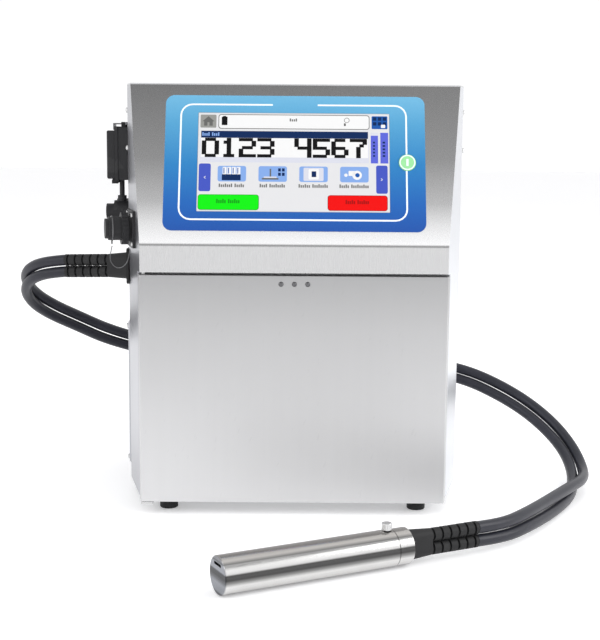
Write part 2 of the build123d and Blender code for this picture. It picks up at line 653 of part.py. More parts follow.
# ---- electronics bay
chips = [block(x - wide / 2, x + wide / 2, depth - 42, depth - 36, z - high / 2, z + high / 2)
         for x, z, wide, high in [(20, 400, 40, 40), (90, 350, 30, 46), (-20, 340, 50, 18),
                                  (110, 430, 44, 20),
                                  (-30, 440, 24, 24)]]
nodes["main_board"] = block(-60, 150, depth - 36, depth - 34.4, 310, 470) + chips
nodes["back_panel"] += [rod(3.5, (x, depth - 34.4, z), (x, depth - sheet, z)) for x in (-50, 140)
                        for z in (320, 460)]
supply = block(-190, -80, 180, 280, shelf_top, shelf_top + 44)
supply -= [block(-180 + 14 * i, -176 + 14 * i, 170, 184, shelf_top + 8, shelf_top + 36) for i in range(8)]
nodes["power_supply"] = supply

fan_front = depth - sheet - fan_thick
fan_axis = Plane(origin=(fan_x, fan_front, fan_z), x_dir=(1, 0, 0), z_dir=(0, 1, 0))
housing = slab(fan_size, fan_size, 4, 0, fan_thick)
housing -= disc(fan_bore_r, 3.5, fan_thick + 1) + disc(fan_bore_r, -1, 1)
housing -= disc(fan_bore_r, 0, 4) - disc(19, 0, 4) - [Rot(0, 0, 45 + 90 * i) * Pos(28, 0, 0) * Box(24, 6, 10)
                                                    for i in range(4)]
nodes["fan_frame"] = fan_axis * (housing + disc(shaft_r - 0.05, 2, 12))
rotor = disc(17, 4.2, fan_thick - 2)
blade = Pos(27, 0, 13) * Rot(32, 0, 0) * Box(21, 1.6, 19)
rotor += [Rot(0, 0, 360 / 7 * i) * blade for i in range(7)]
nodes["fan_rotor"] = fan_axis * (rotor - disc(shaft_r, 0, 14))
guard = disc(fan_bore_r, 0, 1.6) - disc(fan_bore_r - 1.8, -1, 3)
for radius in (11, 20, 29):
    guard += disc(radius, 0, 1.6) - disc(radius - 1.8, -1, 3)
guard += [Rot(0, 0, 45 + 90 * i) * Pos(24, 0, 0.8) * Box(30, 3, 1.6) for i in range(4)]
nodes["fan_guard"] = fan_axis.offset(fan_thick + sheet) * guard

# ---- service bay
def make_cartridge(middle):
    x0, x1 = middle - cartridge_wide / 2, middle + cartridge_wide / 2
    y1 = cartridge_front + cartridge_deep
    tank = block(x0, x1, cartridge_front, y1, cartridge_floor, cartridge_floor + cartridge_high)
    tank = fillet(tank.edges().filter_by(Axis.Z), 6)
    tank = fillet(tank.edges().group_by(Axis.Z)[-1], 3)
    top = cartridge_floor + cartridge_high
    handle = block(middle - 18, middle + 18, cartridge_front + 30, cartridge_front + 54, top - 1, top + 22)
    grip = block(middle - 12, middle + 12, cartridge_front, y1, top + 1, top + 16)
    label = block(x0 + 8, x1 - 8, cartridge_front - 1, cartridge_front + 0.8, top - 110, top - 40)
    return tank + handle - grip - label


def make_dock():
    dock = block(ink_x - 42, solvent_x + 42, cartridge_front - 8, cartridge_front + cartridge_deep + 8,
                 bay_floor,
                 bay_floor + dock_high)
    for middle in (ink_x, solvent_x):
        half = cartridge_wide / 2 + cartridge_gap
        well = block(middle - half, middle + half, cartridge_front - cartridge_gap,
                     cartridge_front + cartridge_deep + cartridge_gap, cartridge_floor - cartridge_gap,
                     bay_floor + 99)
        dock -= well
    return dock


nodes["cartridge_dock"] = make_dock()
nodes["ink_cartridge"] = make_cartridge(ink_x)
nodes["solvent_cartridge"] = make_cartridge(solvent_x)

tx0, tx1, ty0, ty1, tz0, tz1 = tank_box
tank = block(tx0, tx1, ty0, ty1, tz0, tz1)
tank = fillet(tank.edges().filter_by(Axis.Z), 8)
lid = fillet(block(tx0 - 3, tx1 + 3, ty0 - 3, ty1 + 3, tz1, tz1 + 5).edges().filter_by(Axis.Z), 9)
legs = [block(x, x + 12, ty0 + 20, ty1 - 20, bay_floor, tz0) for x in (tx0 + 10, tx1 - 22)]
nodes["ink_tank"] = tank + lid + legs
filter_x, filter_y = tx1 - filter_r - 6, ty0 + filter_r + 8
filter_low = tz1 + 5
can = disc(filter_r, 0, filter_high)
can = fillet(can.edges().group_by(Axis.Z)[-1], 8) + disc(filter_r + 3, 0, 6)
can += disc(9, filter_high, filter_high + 10)
nodes["main_filter"] = Pos(filter_x, filter_y, filter_low) * can
manifold = block(tx0 + 6, tx0 + 76, ty1 - 62, ty1 - 22, tz1 + 5, tz1 + 35)
valve = disc(8, 0, 30) + disc(4, 30, 34)
nodes["valve_manifold"] = manifold + [Pos(tx0 + 18 + 23 * i, ty1 - 32 - 20 * j, tz1 + 35) * valve
                                      for i in range(3) for j in range(2)]

pump = Pos(pump_x, pump_y, pump_z) * (block(-26, 26, 0, 26, -22, 22) - block(-4, 4, -1, 3, -14, 14))
pump += block(pump_x - 24, pump_x + 24, pump_y + 4, pump_y + 20, bay_floor, pump_z - 21)
nodes["pump_head"] = pump
nodes["pump_motor"] = rod(19, (pump_x, pump_y + 26, pump_z), (pump_x, pump_y + 54, pump_z))


def pipe(points, radius=2.5, bend=9.0):
    path = FilletPolyline(*points, radius=bend)
    start = Plane(origin=points[0], z_dir=Vector(*points[1]) - Vector(*points[0]))
    return sweep(start * Circle(radius), path=path)


nodes["ink_tubes"] = group([
    pipe([(pump_x + 2, pump_y + 14, pump_z + 22), (pump_x + 2, pump_y + 14, tz1 + 20),
          (pump_x + 2, ty1 - 62, tz1 + 20)]),
    pipe([(pump_x + 18, pump_y + 14, pump_z + 22), (pump_x + 18, pump_y + 14, tz1 + 26),
          (filter_x, pump_y + 14, tz1 + 26), (filter_x, filter_y - filter_r - 1, tz1 + 26)]),
    pipe([(solvent_x, cartridge_front + cartridge_deep + 8, bay_floor + 14), (solvent_x, 158, bay_floor + 14),
          (tx0, 158, bay_floor + 14)]),
])

# ---- printhead, built along +X from its tip and then turned and laid on the floor
head_place = Location((head_tip[0], head_tip[1], head_r), (0, 0, head_turn))
cover_bore = head_r - head_wall
spigot_r = cover_bore - spigot_clearance


def along_x(radius, x0, x1, y=0.0, z=0.0):
    return rod(radius, (x0, y, z), (x1, y, z))


tube = along_x(head_r, 0, cover_long)
tube = chamfer(tube.edges().sort_by(Axis.X)[0], 0.8)
tube -= along_x(cover_bore, end_thick, cover_long + 1)
slot = slab(head_slot_wide, head_slot_high, head_slot_high / 2 - 0.05, -1, end_thick + 1)
tube -= Plane(origin=(0, 0, slot_up), x_dir=(0, 1, 0), z_dir=(1, 0, 0)) * slot
thumb_x = cover_long - thumb_back
tube -= rod(thumb_shank_r + thread_gap, (thumb_x, 0, 0), (thumb_x, 0, 40))
nodes["head_cover_tube"] = head_place * tube
knob = disc(thumb_r, head_r + 0.6, head_r + thumb_high)
knob = fillet(knob.edges().group_by(Axis.Z)[-1], 1.0)
knob -= [Rot(0, 0, 20 * i) * Pos(thumb_r + 0.5, 0, head_r) * disc(0.75, 1.2, 6.6) for i in range(18)]
knob += disc(thumb_shank_r, cover_bore + 0.3, head_r + 1)
nodes["head_thumbscrew"] = head_place * Pos(thumb_x, 0, 0) * knob

collar_start = cover_long + seam
collar_end = cover_long + collar_long
collar = along_x(collar_r, collar_start, collar_end)
collar = fillet(collar.edges().sort_by(Axis.X)[-1], 0.8)
collar += along_x(spigot_r, collar_start - spigot_long, collar_start)
collar -= along_x(collar_bore, collar_start - spigot_long - 1, collar_end - 4)
nodes["head_collar"] = head_place * collar
behind_collar = block(-boot_behind, 2 * boot_long, -20, 20, -40, 40)
head_boot = head_place * Pos(collar_end + boot_behind, 0, 0) * (make_boot() & behind_collar)
nodes["head_strain_relief"] = head_boot - [nodes["umbilical_hose_a"], nodes["umbilical_hose_b"]]

spigot_start = collar_start - spigot_long
tongue = block(10, spigot_start + 6, -collar_bore, collar_bore, -3, -3 + deck_thick)
tongue &= along_x(collar_bore - thread_gap, 0, spigot_start + 9)
deck = block(10, spigot_start - 0.5, -13, 13, -3, -3 + deck_thick) + tongue
nodes["head_deck"] = head_place * deck
deck_top = -3 + deck_thick
jet_z = slot_up
generator = block(138, 176, -8, 8, deck_top, jet_z + 4) + along_x(3.2, 132, 139, 0, jet_z)
nodes["drop_generator"] = head_place * (generator - along_x(0.6, 120, 150, 0, jet_z))
electrode = block(112, 122, -5, 5, deck_top, jet_z + 3) - block(100, 140, -1.2, 1.2, jet_z - 2.5, jet_z + 9)
nodes["charge_electrode"] = head_place * electrode
plates = [block(62, 100, y, y + 1.6, deck_top, jet_z + 3) for y in (-7.5, 5.9)]
nodes["deflector_plates"] = head_place * group(plates)
gutter = block(16, 30, -4.5, -0.5, deck_top, jet_z + 1.5) - along_x(1.0, 10, 40, -2.5, jet_z - 1)
nodes["ink_gutter"] = head_place * gutter

# ---- lanyards that hang from the caps' rings
lanyard_front_points = [
    (-217, 48, 315), (-219, 46, 306), (-219, 43, 298), (-214, 40, 291), (-207, 38, 289), (-200, 37, 293),
    (-196, 37, 301), (-195, 38, 310),
]
lanyard_rear_points = [
    (-221, 196, 333), (-224, 195, 324), (-225, 192, 315), (-221, 188, 308), (-215, 184, 306),
    (-209, 181, 310),
    (-206, 180, 318), (-206, 180, 326),
]
nodes["lanyard_front"] = cord("lanyard_front", lanyard_front_points, lanyard_r)
nodes["lanyard_rear"] = cord("lanyard_rear", lanyard_rear_points, lanyard_r)

# ---- set the whole object on its own centre and write one file per piece
boxes = [solid.bounding_box() for name, solid in nodes.items() if name not in cord_names]
middle_x = (min(b.min.X for b in boxes) + max(b.max.X for b in boxes)) / 2
middle_y = (min(b.min.Y for b in boxes) + max(b.max.Y for b in boxes)) / 2
centre = Pos(-round(middle_x, 2), -round(middle_y, 2), 0)
print("cabinet centre line and door face are at", round(-middle_x, 2), round(-middle_y, 2))
os.makedirs("parts", exist_ok=True)
for name, solid in nodes.items():
    export_step(centre * solid, "parts/" + name + ".step")
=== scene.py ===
"""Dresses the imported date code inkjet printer.

It gives every CAD piece a finish, prints the film, draws the touch screen's picture, lays the umbilical's
hoses and the cap wires, and sets a plain studio with its camera.
"""

import logging
from dataclasses import dataclass, field
from enum import Enum
from math import atan2, cos, pi, sin

import bmesh
import bpy
from mathutils import Matrix, Vector

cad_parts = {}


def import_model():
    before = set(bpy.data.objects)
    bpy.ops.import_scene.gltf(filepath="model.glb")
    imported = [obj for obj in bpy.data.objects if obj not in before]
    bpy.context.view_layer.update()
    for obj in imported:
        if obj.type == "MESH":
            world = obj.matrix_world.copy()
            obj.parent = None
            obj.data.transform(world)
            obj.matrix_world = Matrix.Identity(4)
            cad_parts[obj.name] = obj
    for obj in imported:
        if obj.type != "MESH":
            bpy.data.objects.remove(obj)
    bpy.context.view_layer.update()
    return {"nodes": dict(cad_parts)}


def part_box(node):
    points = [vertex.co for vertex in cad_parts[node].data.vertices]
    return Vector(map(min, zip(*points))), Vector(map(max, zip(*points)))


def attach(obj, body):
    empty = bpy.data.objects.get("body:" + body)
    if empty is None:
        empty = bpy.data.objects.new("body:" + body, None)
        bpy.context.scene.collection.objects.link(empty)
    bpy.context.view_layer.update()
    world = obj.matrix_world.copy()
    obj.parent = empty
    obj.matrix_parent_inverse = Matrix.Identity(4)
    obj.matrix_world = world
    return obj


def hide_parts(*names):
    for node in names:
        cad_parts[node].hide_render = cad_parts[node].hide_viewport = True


LOG = logging.getLogger("inkjet_printer")
MM = 0.001
FILM_THICKNESS = 0.8 * MM
Colour = tuple[float, float, float]
Place = tuple[float, float, float]
Fade = tuple[tuple[float, Colour], ...]
Outline = list[tuple[float, float]]


def grey(shade: float) -> Colour:
    """A neutral colour.

    Args:
        shade: 0 for black to 1 for white.

    Returns:
        The colour.
    """
    return shade, shade, shade


def greys(*steps: tuple[float, float]) -> Fade:
    """A fade of neutral colours.

    Args:
        steps: each step's place and shade, in rising order.

    Returns:
        The fade.
    """
    return tuple((place, grey(shade)) for place, shade in steps)


def scaled(colour: Colour, share: float) -> Colour:
    """A colour made darker or brighter.

    Args:
        colour: the colour.
        share: what each of its three values is multiplied by.

    Returns:
        The new colour.
    """
    return tuple(value * share for value in colour)


def linear(red: int, green: int, blue: int) -> Colour:
    """Turns a display colour into the scene's linear light.

    Args:
        red, green, blue: the colour as 0 to 255.

    Returns:
        The same colour as three linear values from 0 to 1.
    """
    shares = (value / 255 for value in (red, green, blue))
    return tuple(s / 12.92 if s <= 0.04045 else ((s + 0.055) / 1.055) ** 2.4 for s in shares)


# ---- shader nodes
@dataclass
class Wire:
    """A node's output value, with the arithmetic that the finishes use."""

    tree: bpy.types.NodeTree
    socket: bpy.types.NodeSocket

    def _maths(self, operation: str, first: "Wire | float", second: "Wire | float") -> "Wire":
        """Adds one Math node.

        Args:
            operation: the Math node's operation.
            first, second: its two values.

        Returns:
            The node's result.
        """
        node = self.tree.nodes.new("ShaderNodeMath")
        node.operation = operation
        for slot, value in zip(node.inputs, (first, second)):
            fill(self.tree, slot, value)
        return Wire(self.tree, node.outputs[0])

    def __add__(self, other: "Wire | float") -> "Wire":
        """self + other."""
        return self._maths("ADD", self, other)

    def __radd__(self, other: float) -> "Wire":
        """other + self."""
        return self._maths("ADD", other, self)

    def __sub__(self, other: "Wire | float") -> "Wire":
        """self - other."""
        return self._maths("SUBTRACT", self, other)

    def __rsub__(self, other: float) -> "Wire":
        """other - self."""
        return self._maths("SUBTRACT", other, self)

    def __mul__(self, other: "Wire | float") -> "Wire":
        """self x other."""
        return self._maths("MULTIPLY", self, other)

    def __rmul__(self, other: float) -> "Wire":
        """other x self."""
        return self._maths("MULTIPLY", other, self)

    def __gt__(self, other: float) -> "Wire":
        """1 where self is more than other, and 0 elsewhere."""
        return self._maths("GREATER_THAN", self, other)


def fill(tree: bpy.types.NodeTree, slot: bpy.types.NodeSocket, value: object) -> None:
    """Sets or links one socket.

    Args:
        tree: the nodes that the socket belongs to.
        slot: the socket.
        value: a wire, a number, a vector or a colour.
    """
    if isinstance(value, Wire):
        tree.links.new(value.socket, slot)
    elif isinstance(value, tuple) and slot.type == "RGBA":
        slot.default_value = (*value, 1.0)
    else:
        slot.default_value = value


def set_stops(ramp: bpy.types.ColorRamp, stops: Fade) -> None:
    """Gives a colour ramp its stops.

    Args:
        ramp: the ramp, with the two stops that it starts with.
        stops: each stop's place and colour, in rising order.
    """
    while len(ramp.elements) < len(stops):
        ramp.elements.new(0.5)
    for element, (place, colour) in zip(ramp.elements, stops):
        element.position, element.color = place, (*colour, 1.0)


class Paint:
    """One material, its nodes and its closing shader."""

    MIX_SHARE, MIX_FIRST, MIX_SECOND, MIX_RESULT = 0, 6, 7, 2

    def __init__(self, name: str) -> None:
        """Starts an empty material with its principled shader.

        Args:
            name: the finish's name.
        """
        self.material = bpy.data.materials.new(name)
        self.material.use_nodes = True
        self.tree = self.material.node_tree
        self.shader = self.tree.nodes["Principled BSDF"]

    def node(self, kind: str, settings: dict | None = None, result: int | str = 0,
             **inputs: object) -> Wire:
        """Adds any node.

        Args:
            kind: the node's type, without its ShaderNode start.
            settings: the node's own properties, set first; "stops" fills a colour ramp.
            result: which output is wanted.
            inputs: values or wires by socket name, with _ for a space.

        Returns:
            The wanted output.
        """
        node = self.tree.nodes.new("ShaderNode" + kind)
        for key, value in (settings or {}).items():
            if key == "stops":
                set_stops(node.color_ramp, value)
            else:
                setattr(node, key, value)
        for key, value in inputs.items():
            self.feed(node, key.replace("_", " "), value)
        return Wire(self.tree, node.outputs[result])

    def feed(self, node: bpy.types.Node, socket: str, value: object) -> None:
        """Sets or links a node's socket by its name.

        Args:
            node: the node that owns the socket.
            socket: the socket's name.
            value: a wire, a number, a vector or a colour.
        """
        fill(self.tree, next(s for s in node.inputs if s.name == socket and s.enabled), value)

    def set(self, **values: object) -> None:
        """Sets or links sockets of the principled shader by name, with _ for a space."""
        for key, value in values.items():
            self.feed(self.shader, key.replace("_", " "), value)

    def place(self) -> Wire:
        """The point on the object, in metres."""
        return self.node("TexCoord", result="Object")

    def height(self) -> Wire:
        """The point's height over the floor, in metres."""
        return self.node("SeparateXYZ", result="Z", Vector=self.place())

    def vectors(self, operation: str, first: object, second: object, result: int | str = 0) -> Wire:
        """Adds a Vector Math node with two vectors.

        Args:
            operation: the node's operation.
            first, second: the vectors, as values or wires.
            result: which output is wanted.

        Returns:
            The wanted output.
        """
        node = self.tree.nodes.new("ShaderNodeVectorMath")
        node.operation = operation
        for slot, value in zip(node.inputs, (first, second)):
            fill(self.tree, slot, value)
        return Wire(self.tree, node.outputs[result])

    def reach(self, way: Place) -> Wire:
        """How far the point lies in a direction, in metres.

        Args:
            way: the direction, one unit long.

        Returns:
            The distance.
        """
        return self.vectors("DOT_PRODUCT", self.place(), way, "Value")

    def drawn_out(self, along: Place, across_scale: float, along_scale: float) -> Wire:
        """Coordinates for a pattern that is long in one direction, such as a grain.

        Args:
            along: the grain's direction.
            across_scale: cells per metre across the grain.
            along_scale: cells per metre along it.

        Returns:
            The stretched coordinates.
        """
        way = tuple(Vector(along).normalized())
        pull = self.node("VectorMath", {"operation": "SCALE"}, Vector=way,
                         Scale=self.reach(way) * (along_scale - across_scale))
        wide = self.node("VectorMath", {"operation": "SCALE"}, Vector=self.place(), Scale=across_scale)
        return self.vectors("ADD", wide, pull)

    def noise(self, scale: float, detail: float = 3.0, vector: Wire | None = None) -> Wire:
        """A noise value around 0.5.

        Args:
            scale: cells per unit of the coordinates.
            detail: how many finer layers it has.
            vector: other coordinates than the object's own.

        Returns:
            The noise value.
        """
        return self.node("TexNoise", Vector=vector or self.place(), Scale=scale, Detail=detail)

    def steps(self, value: Wire, pairs: Fade) -> Wire:
        """A colour that follows a value.

        Args:
            value: what the colour follows.
            pairs: the value and the colour at each step, in rising order.

        Returns:
            The colour, evenly blended between the steps.
        """
        low, high = pairs[0][0], pairs[-1][0]
        stops = [((place - low) / (high - low), colour) for place, colour in pairs]
        return self.node("ValToRGB", {"stops": stops}, Fac=(value - low) * (1 / (high - low)))

    def blend(self, share: Wire | float, first: object, second: object, mode: str = "MIX") -> Wire:
        """A colour between two colours.

        Args:
            share: 0 for the first colour, 1 for the second.
            first, second: the colours, as values or wires.
            mode: how the second is laid over the first.

        Returns:
            The blended colour.
        """
        node = self.tree.nodes.new("ShaderNodeMix")
        node.data_type = "RGBA"
        node.blend_type = mode
        for place, value in ((self.MIX_SHARE, share), (self.MIX_FIRST, first), (self.MIX_SECOND, second)):
            fill(self.tree, node.inputs[place], value)
        return Wire(self.tree, node.outputs[self.MIX_RESULT])

    def shaded(self, colour: Wire, value: Wire, pairs: Fade) -> Wire:
        """A colour darkened by a fade.

        Args:
            colour: the colour.
            value: what the fade follows.
            pairs: the fade's steps.

        Returns:
            The colour times the fade.
        """
        return self.blend(1.0, colour, self.steps(value, pairs), "MULTIPLY")

    def relief(self, height: Wire, depth: float, strength: float = 0.5) -> None:
        """Raises the surface.

        Args:
            height: 0 at the lowest to 1 at the highest.
            depth: metres between the two.
            strength: how much of the relief is seen.
        """
        self.set(Normal=self.node("Bump", Height=height, Distance=depth, Strength=strength))


# ---- finishes
@dataclass(eq=False)
class Finish:
    """A finish that makes its material once, under its label, and hands it out."""

    label: str
    made: bpy.types.Material | None = field(default=None, init=False)

    def mix(self, paint: Paint) -> None:
        """Fills the material; each finish has its own."""
        raise NotImplementedError

    def material(self) -> bpy.types.Material:
        """The finish's material, made on first use."""
        if self.made is None:
            paint = Paint(self.label)
            self.mix(paint)
            self.made = paint.material
        return self.made


@dataclass(eq=False)
class Brushed(Finish):
    """Rolled or ground stainless with a grain, faint smudges and a few long scratches."""

    label: str = "brushed_stainless"
    colour: Colour = (0.60, 0.605, 0.615)
    roughness: float = 0.31
    streaks: float = 0.10
    across: float = 620.0
    # Painted shade and reflection: grey steps by height over the floor that multiply the colour.
    fade: Fade = ()
    grain: Place = (0.0, 0.0, 1.0)
    along: float = 9.0
    scratch_way: Place = (0.35, 0.2, 1.0)

    def mix(self, paint: Paint) -> None:
        """Mixes grain into colour, roughness and relief."""
        lines = paint.noise(1.0, 4.0, paint.drawn_out(self.grain, self.across, self.along))
        bands = paint.noise(1.0, 2.0, paint.drawn_out(self.grain, self.across * 0.12, self.along * 0.25))
        smudges = paint.noise(7.0, 4.0)
        scratches = paint.noise(1.0, 1.0, paint.drawn_out(self.scratch_way, self.across * 0.5, 6.0)) > 0.735
        dark = scaled(self.colour, 1 - self.streaks)
        light = tuple(min(1.0, value) for value in scaled(self.colour, 1 + self.streaks))
        grained = paint.blend(lines * 0.6 + bands * 0.4, dark, light)
        shade = paint.blend(scratches * 0.35, grained, scaled(self.colour, 0.9))
        # Painted shade and reflection by height, on the hood and the door.
        if self.fade:
            shade = paint.shaded(shade, paint.height(), self.fade)
        paint.set(Base_Color=shade, Metallic=1.0,
                  Roughness=lines * 0.10 + smudges * 0.08 + (self.roughness - 0.09))
        paint.relief(lines * 0.8 + scratches * -0.3, 0.00012, 0.22)


@dataclass(eq=False)
class Polished(Finish):
    """Polished steel with fine lines, painted reflection bands and shade by height, and rings of colour along
    the piece that hold a painted seam shadow.
    """

    label: str = "polished_steel_painted_reflections"
    colour: Colour = (0.74, 0.735, 0.725)
    lines: Place = (0.0, 0.0, 1.0)
    roughness: float = 0.2
    # bands: painted reflections and contact shadow by height; rings: colours along the piece, with a painted
    # seam shadow.
    bands: Fade = ()
    rings: Fade = ()

    def mix(self, paint: Paint) -> None:
        """Mixes fine lines and handling marks."""
        fine = paint.noise(1.0, 3.0, paint.drawn_out(self.lines, 900.0, 22.0))
        marks = paint.noise(32.0, 5.0)
        shade = paint.blend(fine * 0.7 + marks * 0.3, scaled(self.colour, 0.82), self.colour)
        # Painted reflection bands and contact shadow by height, then rings along the piece with a painted
        # seam shadow.
        if self.bands:
            shade = paint.shaded(shade, paint.height(), self.bands)
        if self.rings:
            shade = paint.shaded(shade, paint.reach(self.lines), self.rings)
        paint.set(Base_Color=shade, Metallic=1.0,
                  Roughness=fine * 0.12 + marks * 0.1 + (self.roughness - 0.11))
        paint.relief(fine, 0.00008, 0.2)


@dataclass(eq=False)
class Moulded(Finish):
    """Moulded plastic or rubber with a fine pebble and a few dusty patches."""

    label: str = "moulded_black"
    colour: Colour = (0.016, 0.016, 0.018)
    dust: Colour = (0.06, 0.06, 0.06)
    roughness: float = 0.5
    pebble: float = 1400.0
    depth: float = 0.12 * MM
    gloss: float = 0.3

    def mix(self, paint: Paint) -> None:
        """Mixes the pebble, the dust and uneven gloss."""
        pebble = paint.noise(self.pebble, 2.0)
        patches = paint.noise(38.0, 5.0)
        dusty = paint.blend((patches > 0.6) * 0.25 + pebble * 0.15, self.colour, self.dust)
        paint.set(Base_Color=dusty, Specular_IOR_Level=self.gloss,
                  Roughness=patches * 0.16 + pebble * 0.08 + (self.roughness - 0.12))
        paint.relief(pebble, self.depth, 0.5)


@dataclass(eq=False)
class PrintedFilm(Finish):
    """The panel's printed film: sky blue at its top, deep blue at its foot, under a gloss skin."""

    low: float
    high: float
    shades: Fade = (
        (0.0, linear(8, 74, 158)), (0.2, linear(14, 92, 172)), (0.5, linear(34, 121, 182)),
        (0.8, linear(76, 152, 196)), (1.0, linear(104, 172, 208)),
    )
    label: str = field(default="printed_film", init=False)

    def mix(self, paint: Paint) -> None:
        """Mixes the fade by height, a slow drift sideways and the film's fine texture."""
        climb = (paint.height() - self.low) * (1 / (self.high - self.low))
        drift = paint.noise(5.0, 2.0)
        fade = paint.node("ValToRGB", {"stops": self.shades}, Fac=climb + drift * 0.12 - 0.06)
        texture = paint.noise(2600.0, 2.0)
        paint.set(Base_Color=fade, Roughness=texture * 0.08 + 0.24, Coat_Weight=0.1, Coat_Roughness=0.12,
                  Specular_IOR_Level=0.3)
        paint.relief(texture, 0.00004, 0.25)


@dataclass(eq=False)
class LitInk(Finish):
    """One colour of the lit screen, with the faint cells of its display."""

    colour: Colour
    glow: float = 0.5
    unlit: float = 0.4

    def mix(self, paint: Paint) -> None:
        """Mixes the colour with its cells and lets it glow."""
        cells = paint.noise(1500.0, 1.0)
        lit = paint.blend(cells * 0.16, self.colour, scaled(self.colour, 0.8))
        dim = paint.blend(cells * 0.16, scaled(self.colour, self.unlit), scaled(self.colour, 0.33))
        paint.set(Base_Color=dim, Emission_Color=lit, Emission_Strength=self.glow,
                  Roughness=cells * 0.05 + 0.22, Specular_IOR_Level=0.12)
        paint.relief(cells, 0.00002, 0.1)


@dataclass(eq=False)
class PaintedMark(Finish):
    """Screen-printed ink or a coloured button cap."""

    colour: Colour
    roughness: float = 0.34
    glow: float = 0.0

    def mix(self, paint: Paint) -> None:
        """Mixes slightly uneven ink."""
        fibres = paint.noise(900.0, 3.0)
        shade = paint.blend(fibres * 0.2, self.colour, scaled(self.colour, 0.86))
        paint.set(Base_Color=shade, Emission_Color=shade, Emission_Strength=self.glow,
                  Roughness=fibres * 0.08 + (self.roughness - 0.04))
        paint.relief(fibres, 0.00003, 0.2)


@dataclass(eq=False)
class CircuitBoard(Finish):
    """Green solder mask with brighter tracks."""

    label: str = field(default="circuit_board", init=False)
    mask: Colour = (0.012, 0.09, 0.035)
    track: Colour = (0.05, 0.2, 0.07)

    def mix(self, paint: Paint) -> None:
        """Mixes upright and level tracks from stretched noise."""
        upright = paint.noise(1.0, 0.0, paint.drawn_out((0.0, 0.0, 1.0), 260.0, 18.0)) > 0.56
        level = paint.noise(1.0, 0.0, paint.drawn_out((1.0, 0.0, 0.0), 240.0, 20.0)) > 0.58
        tracks = upright * 0.5 + level * 0.5
        paint.set(Base_Color=paint.blend(tracks, self.mask, self.track), Coat_Weight=0.3,
                  Roughness=tracks * -0.1 + 0.4)
        paint.relief(tracks, 0.00005, 0.4)


@dataclass(eq=False)
class StudioPaper(Finish):
    """The pale floor."""

    label: str = field(default="StudioPaper", init=False)
    glow: float = 0.32

    def mix(self, paint: Paint) -> None:
        """Mixes a nearly even white."""
        white = paint.blend(paint.noise(2.0, 2.0), (0.9, 0.9, 0.905), (0.93, 0.93, 0.935))
        paint.set(Base_Color=white, Emission_Color=white, Emission_Strength=self.glow, Roughness=0.75)


# ---- meshes
@dataclass
class FlatPieces:
    """Thin flat pieces on a leaning face, gathered into one closed mesh."""

    middle: Vector
    across: Vector
    up: Vector
    out: Vector
    mesh: bmesh.types.BMesh = field(default_factory=bmesh.new)

    def spot(self, x: float, y: float, lift: float) -> Vector:
        """A point of the face.

        Args:
            x, y: metres across and up from the face's middle.
            lift: metres out of the face.

        Returns:
            The point in the row frame.
        """
        return self.middle + self.across * x + self.up * y + self.out * lift

    def prism(self, outline: Outline, low: float, high: float) -> None:
        """Adds one closed flat piece.

        Args:
            outline: its corners, in order.
            low, high: its underside and top, out of the face.
        """
        lower = [self.mesh.verts.new(self.spot(x, y, low)) for x, y in outline]
        upper = [self.mesh.verts.new(self.spot(x, y, high)) for x, y in outline]
        self.mesh.faces.new(upper)
        self.mesh.faces.new(list(reversed(lower)))
        for i, lower_corner in enumerate(lower):
            j = (i + 1) % len(lower)
            self.mesh.faces.new((lower_corner, lower[j], upper[j], upper[i]))

    def ribbon(self, inner: Outline, outer: Outline, low: float, high: float, closed: bool = True) -> None:
        """Adds one closed band between two lines of points.

        Args:
            inner, outer: the band's two edges, point for point.
            low, high: its underside and top, out of the face.
            closed: whether its ends meet.
        """
        rings = [[self.mesh.verts.new(self.spot(x, y, lift)) for x, y in line]
                 for lift in (low, high) for line in (inner, outer)]
        low_in, low_out, high_in, high_out = rings
        count = len(inner)
        for i in range(count if closed else count - 1):
            j = (i + 1) % count
            for a, b in ((high_in, high_out), (high_out, low_out), (low_out, low_in), (low_in, high_in)):
                self.mesh.faces.new((a[i], a[j], b[j], b[i]))
        if not closed:
            for i in (0, count - 1):
                self.mesh.faces.new((low_in[i], low_out[i], high_out[i], high_in[i]))

    def finish(self, name: str, body: str, finish: Finish) -> bpy.types.Object:
        """Makes the gathered pieces one object.

        Args:
            name: the object's name.
            body: the CAD body that it rides on.
            finish: its finish.

        Returns:
            The object.
        """
        bmesh.ops.recalc_face_normals(self.mesh, faces=self.mesh.faces)
        data = bpy.data.meshes.new(name)
        self.mesh.to_mesh(data)
        self.mesh.free()
        data.materials.append(finish.material())
        piece = bpy.data.objects.new(name, data)
        bpy.context.collection.objects.link(piece)
        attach(piece, body)
        LOG.info("built %s on %s with %d faces", name, body, len(data.polygons))
        return piece


def rounded(x0: float, x1: float, y0: float, y1: float, radius: float, steps: int = 5) -> Outline:
    """A rectangle's outline with round corners.

    Args:
        x0, x1, y0, y1: its sides.
        radius: its corners.
        steps: flats in each corner.

    Returns:
        The outline, anticlockwise from the lower right corner.
    """
    if radius <= 0:
        return [(x1, y0), (x1, y1), (x0, y1), (x0, y0)]
    points = []
    for turn, (x, y) in enumerate([(x1 - radius, y0 + radius), (x1 - radius, y1 - radius),
                                   (x0 + radius, y1 - radius), (x0 + radius, y0 + radius)]):
        for i in range(steps + 1):
            angle = -pi / 2 + pi / 2 * (turn + i / steps)
            points.append((x + radius * cos(angle), y + radius * sin(angle)))
    return points


def circle(x: float, y: float, radius: float, steps: int = 40) -> Outline:
    """A circle's outline.

    Args:
        x, y: its middle.
        radius: its radius.
        steps: how many flats it has.

    Returns:
        The outline, anticlockwise from its right side.
    """
    turns = (2 * pi * i / steps for i in range(steps))
    return [(x + radius * cos(turn), y + radius * sin(turn)) for turn in turns]


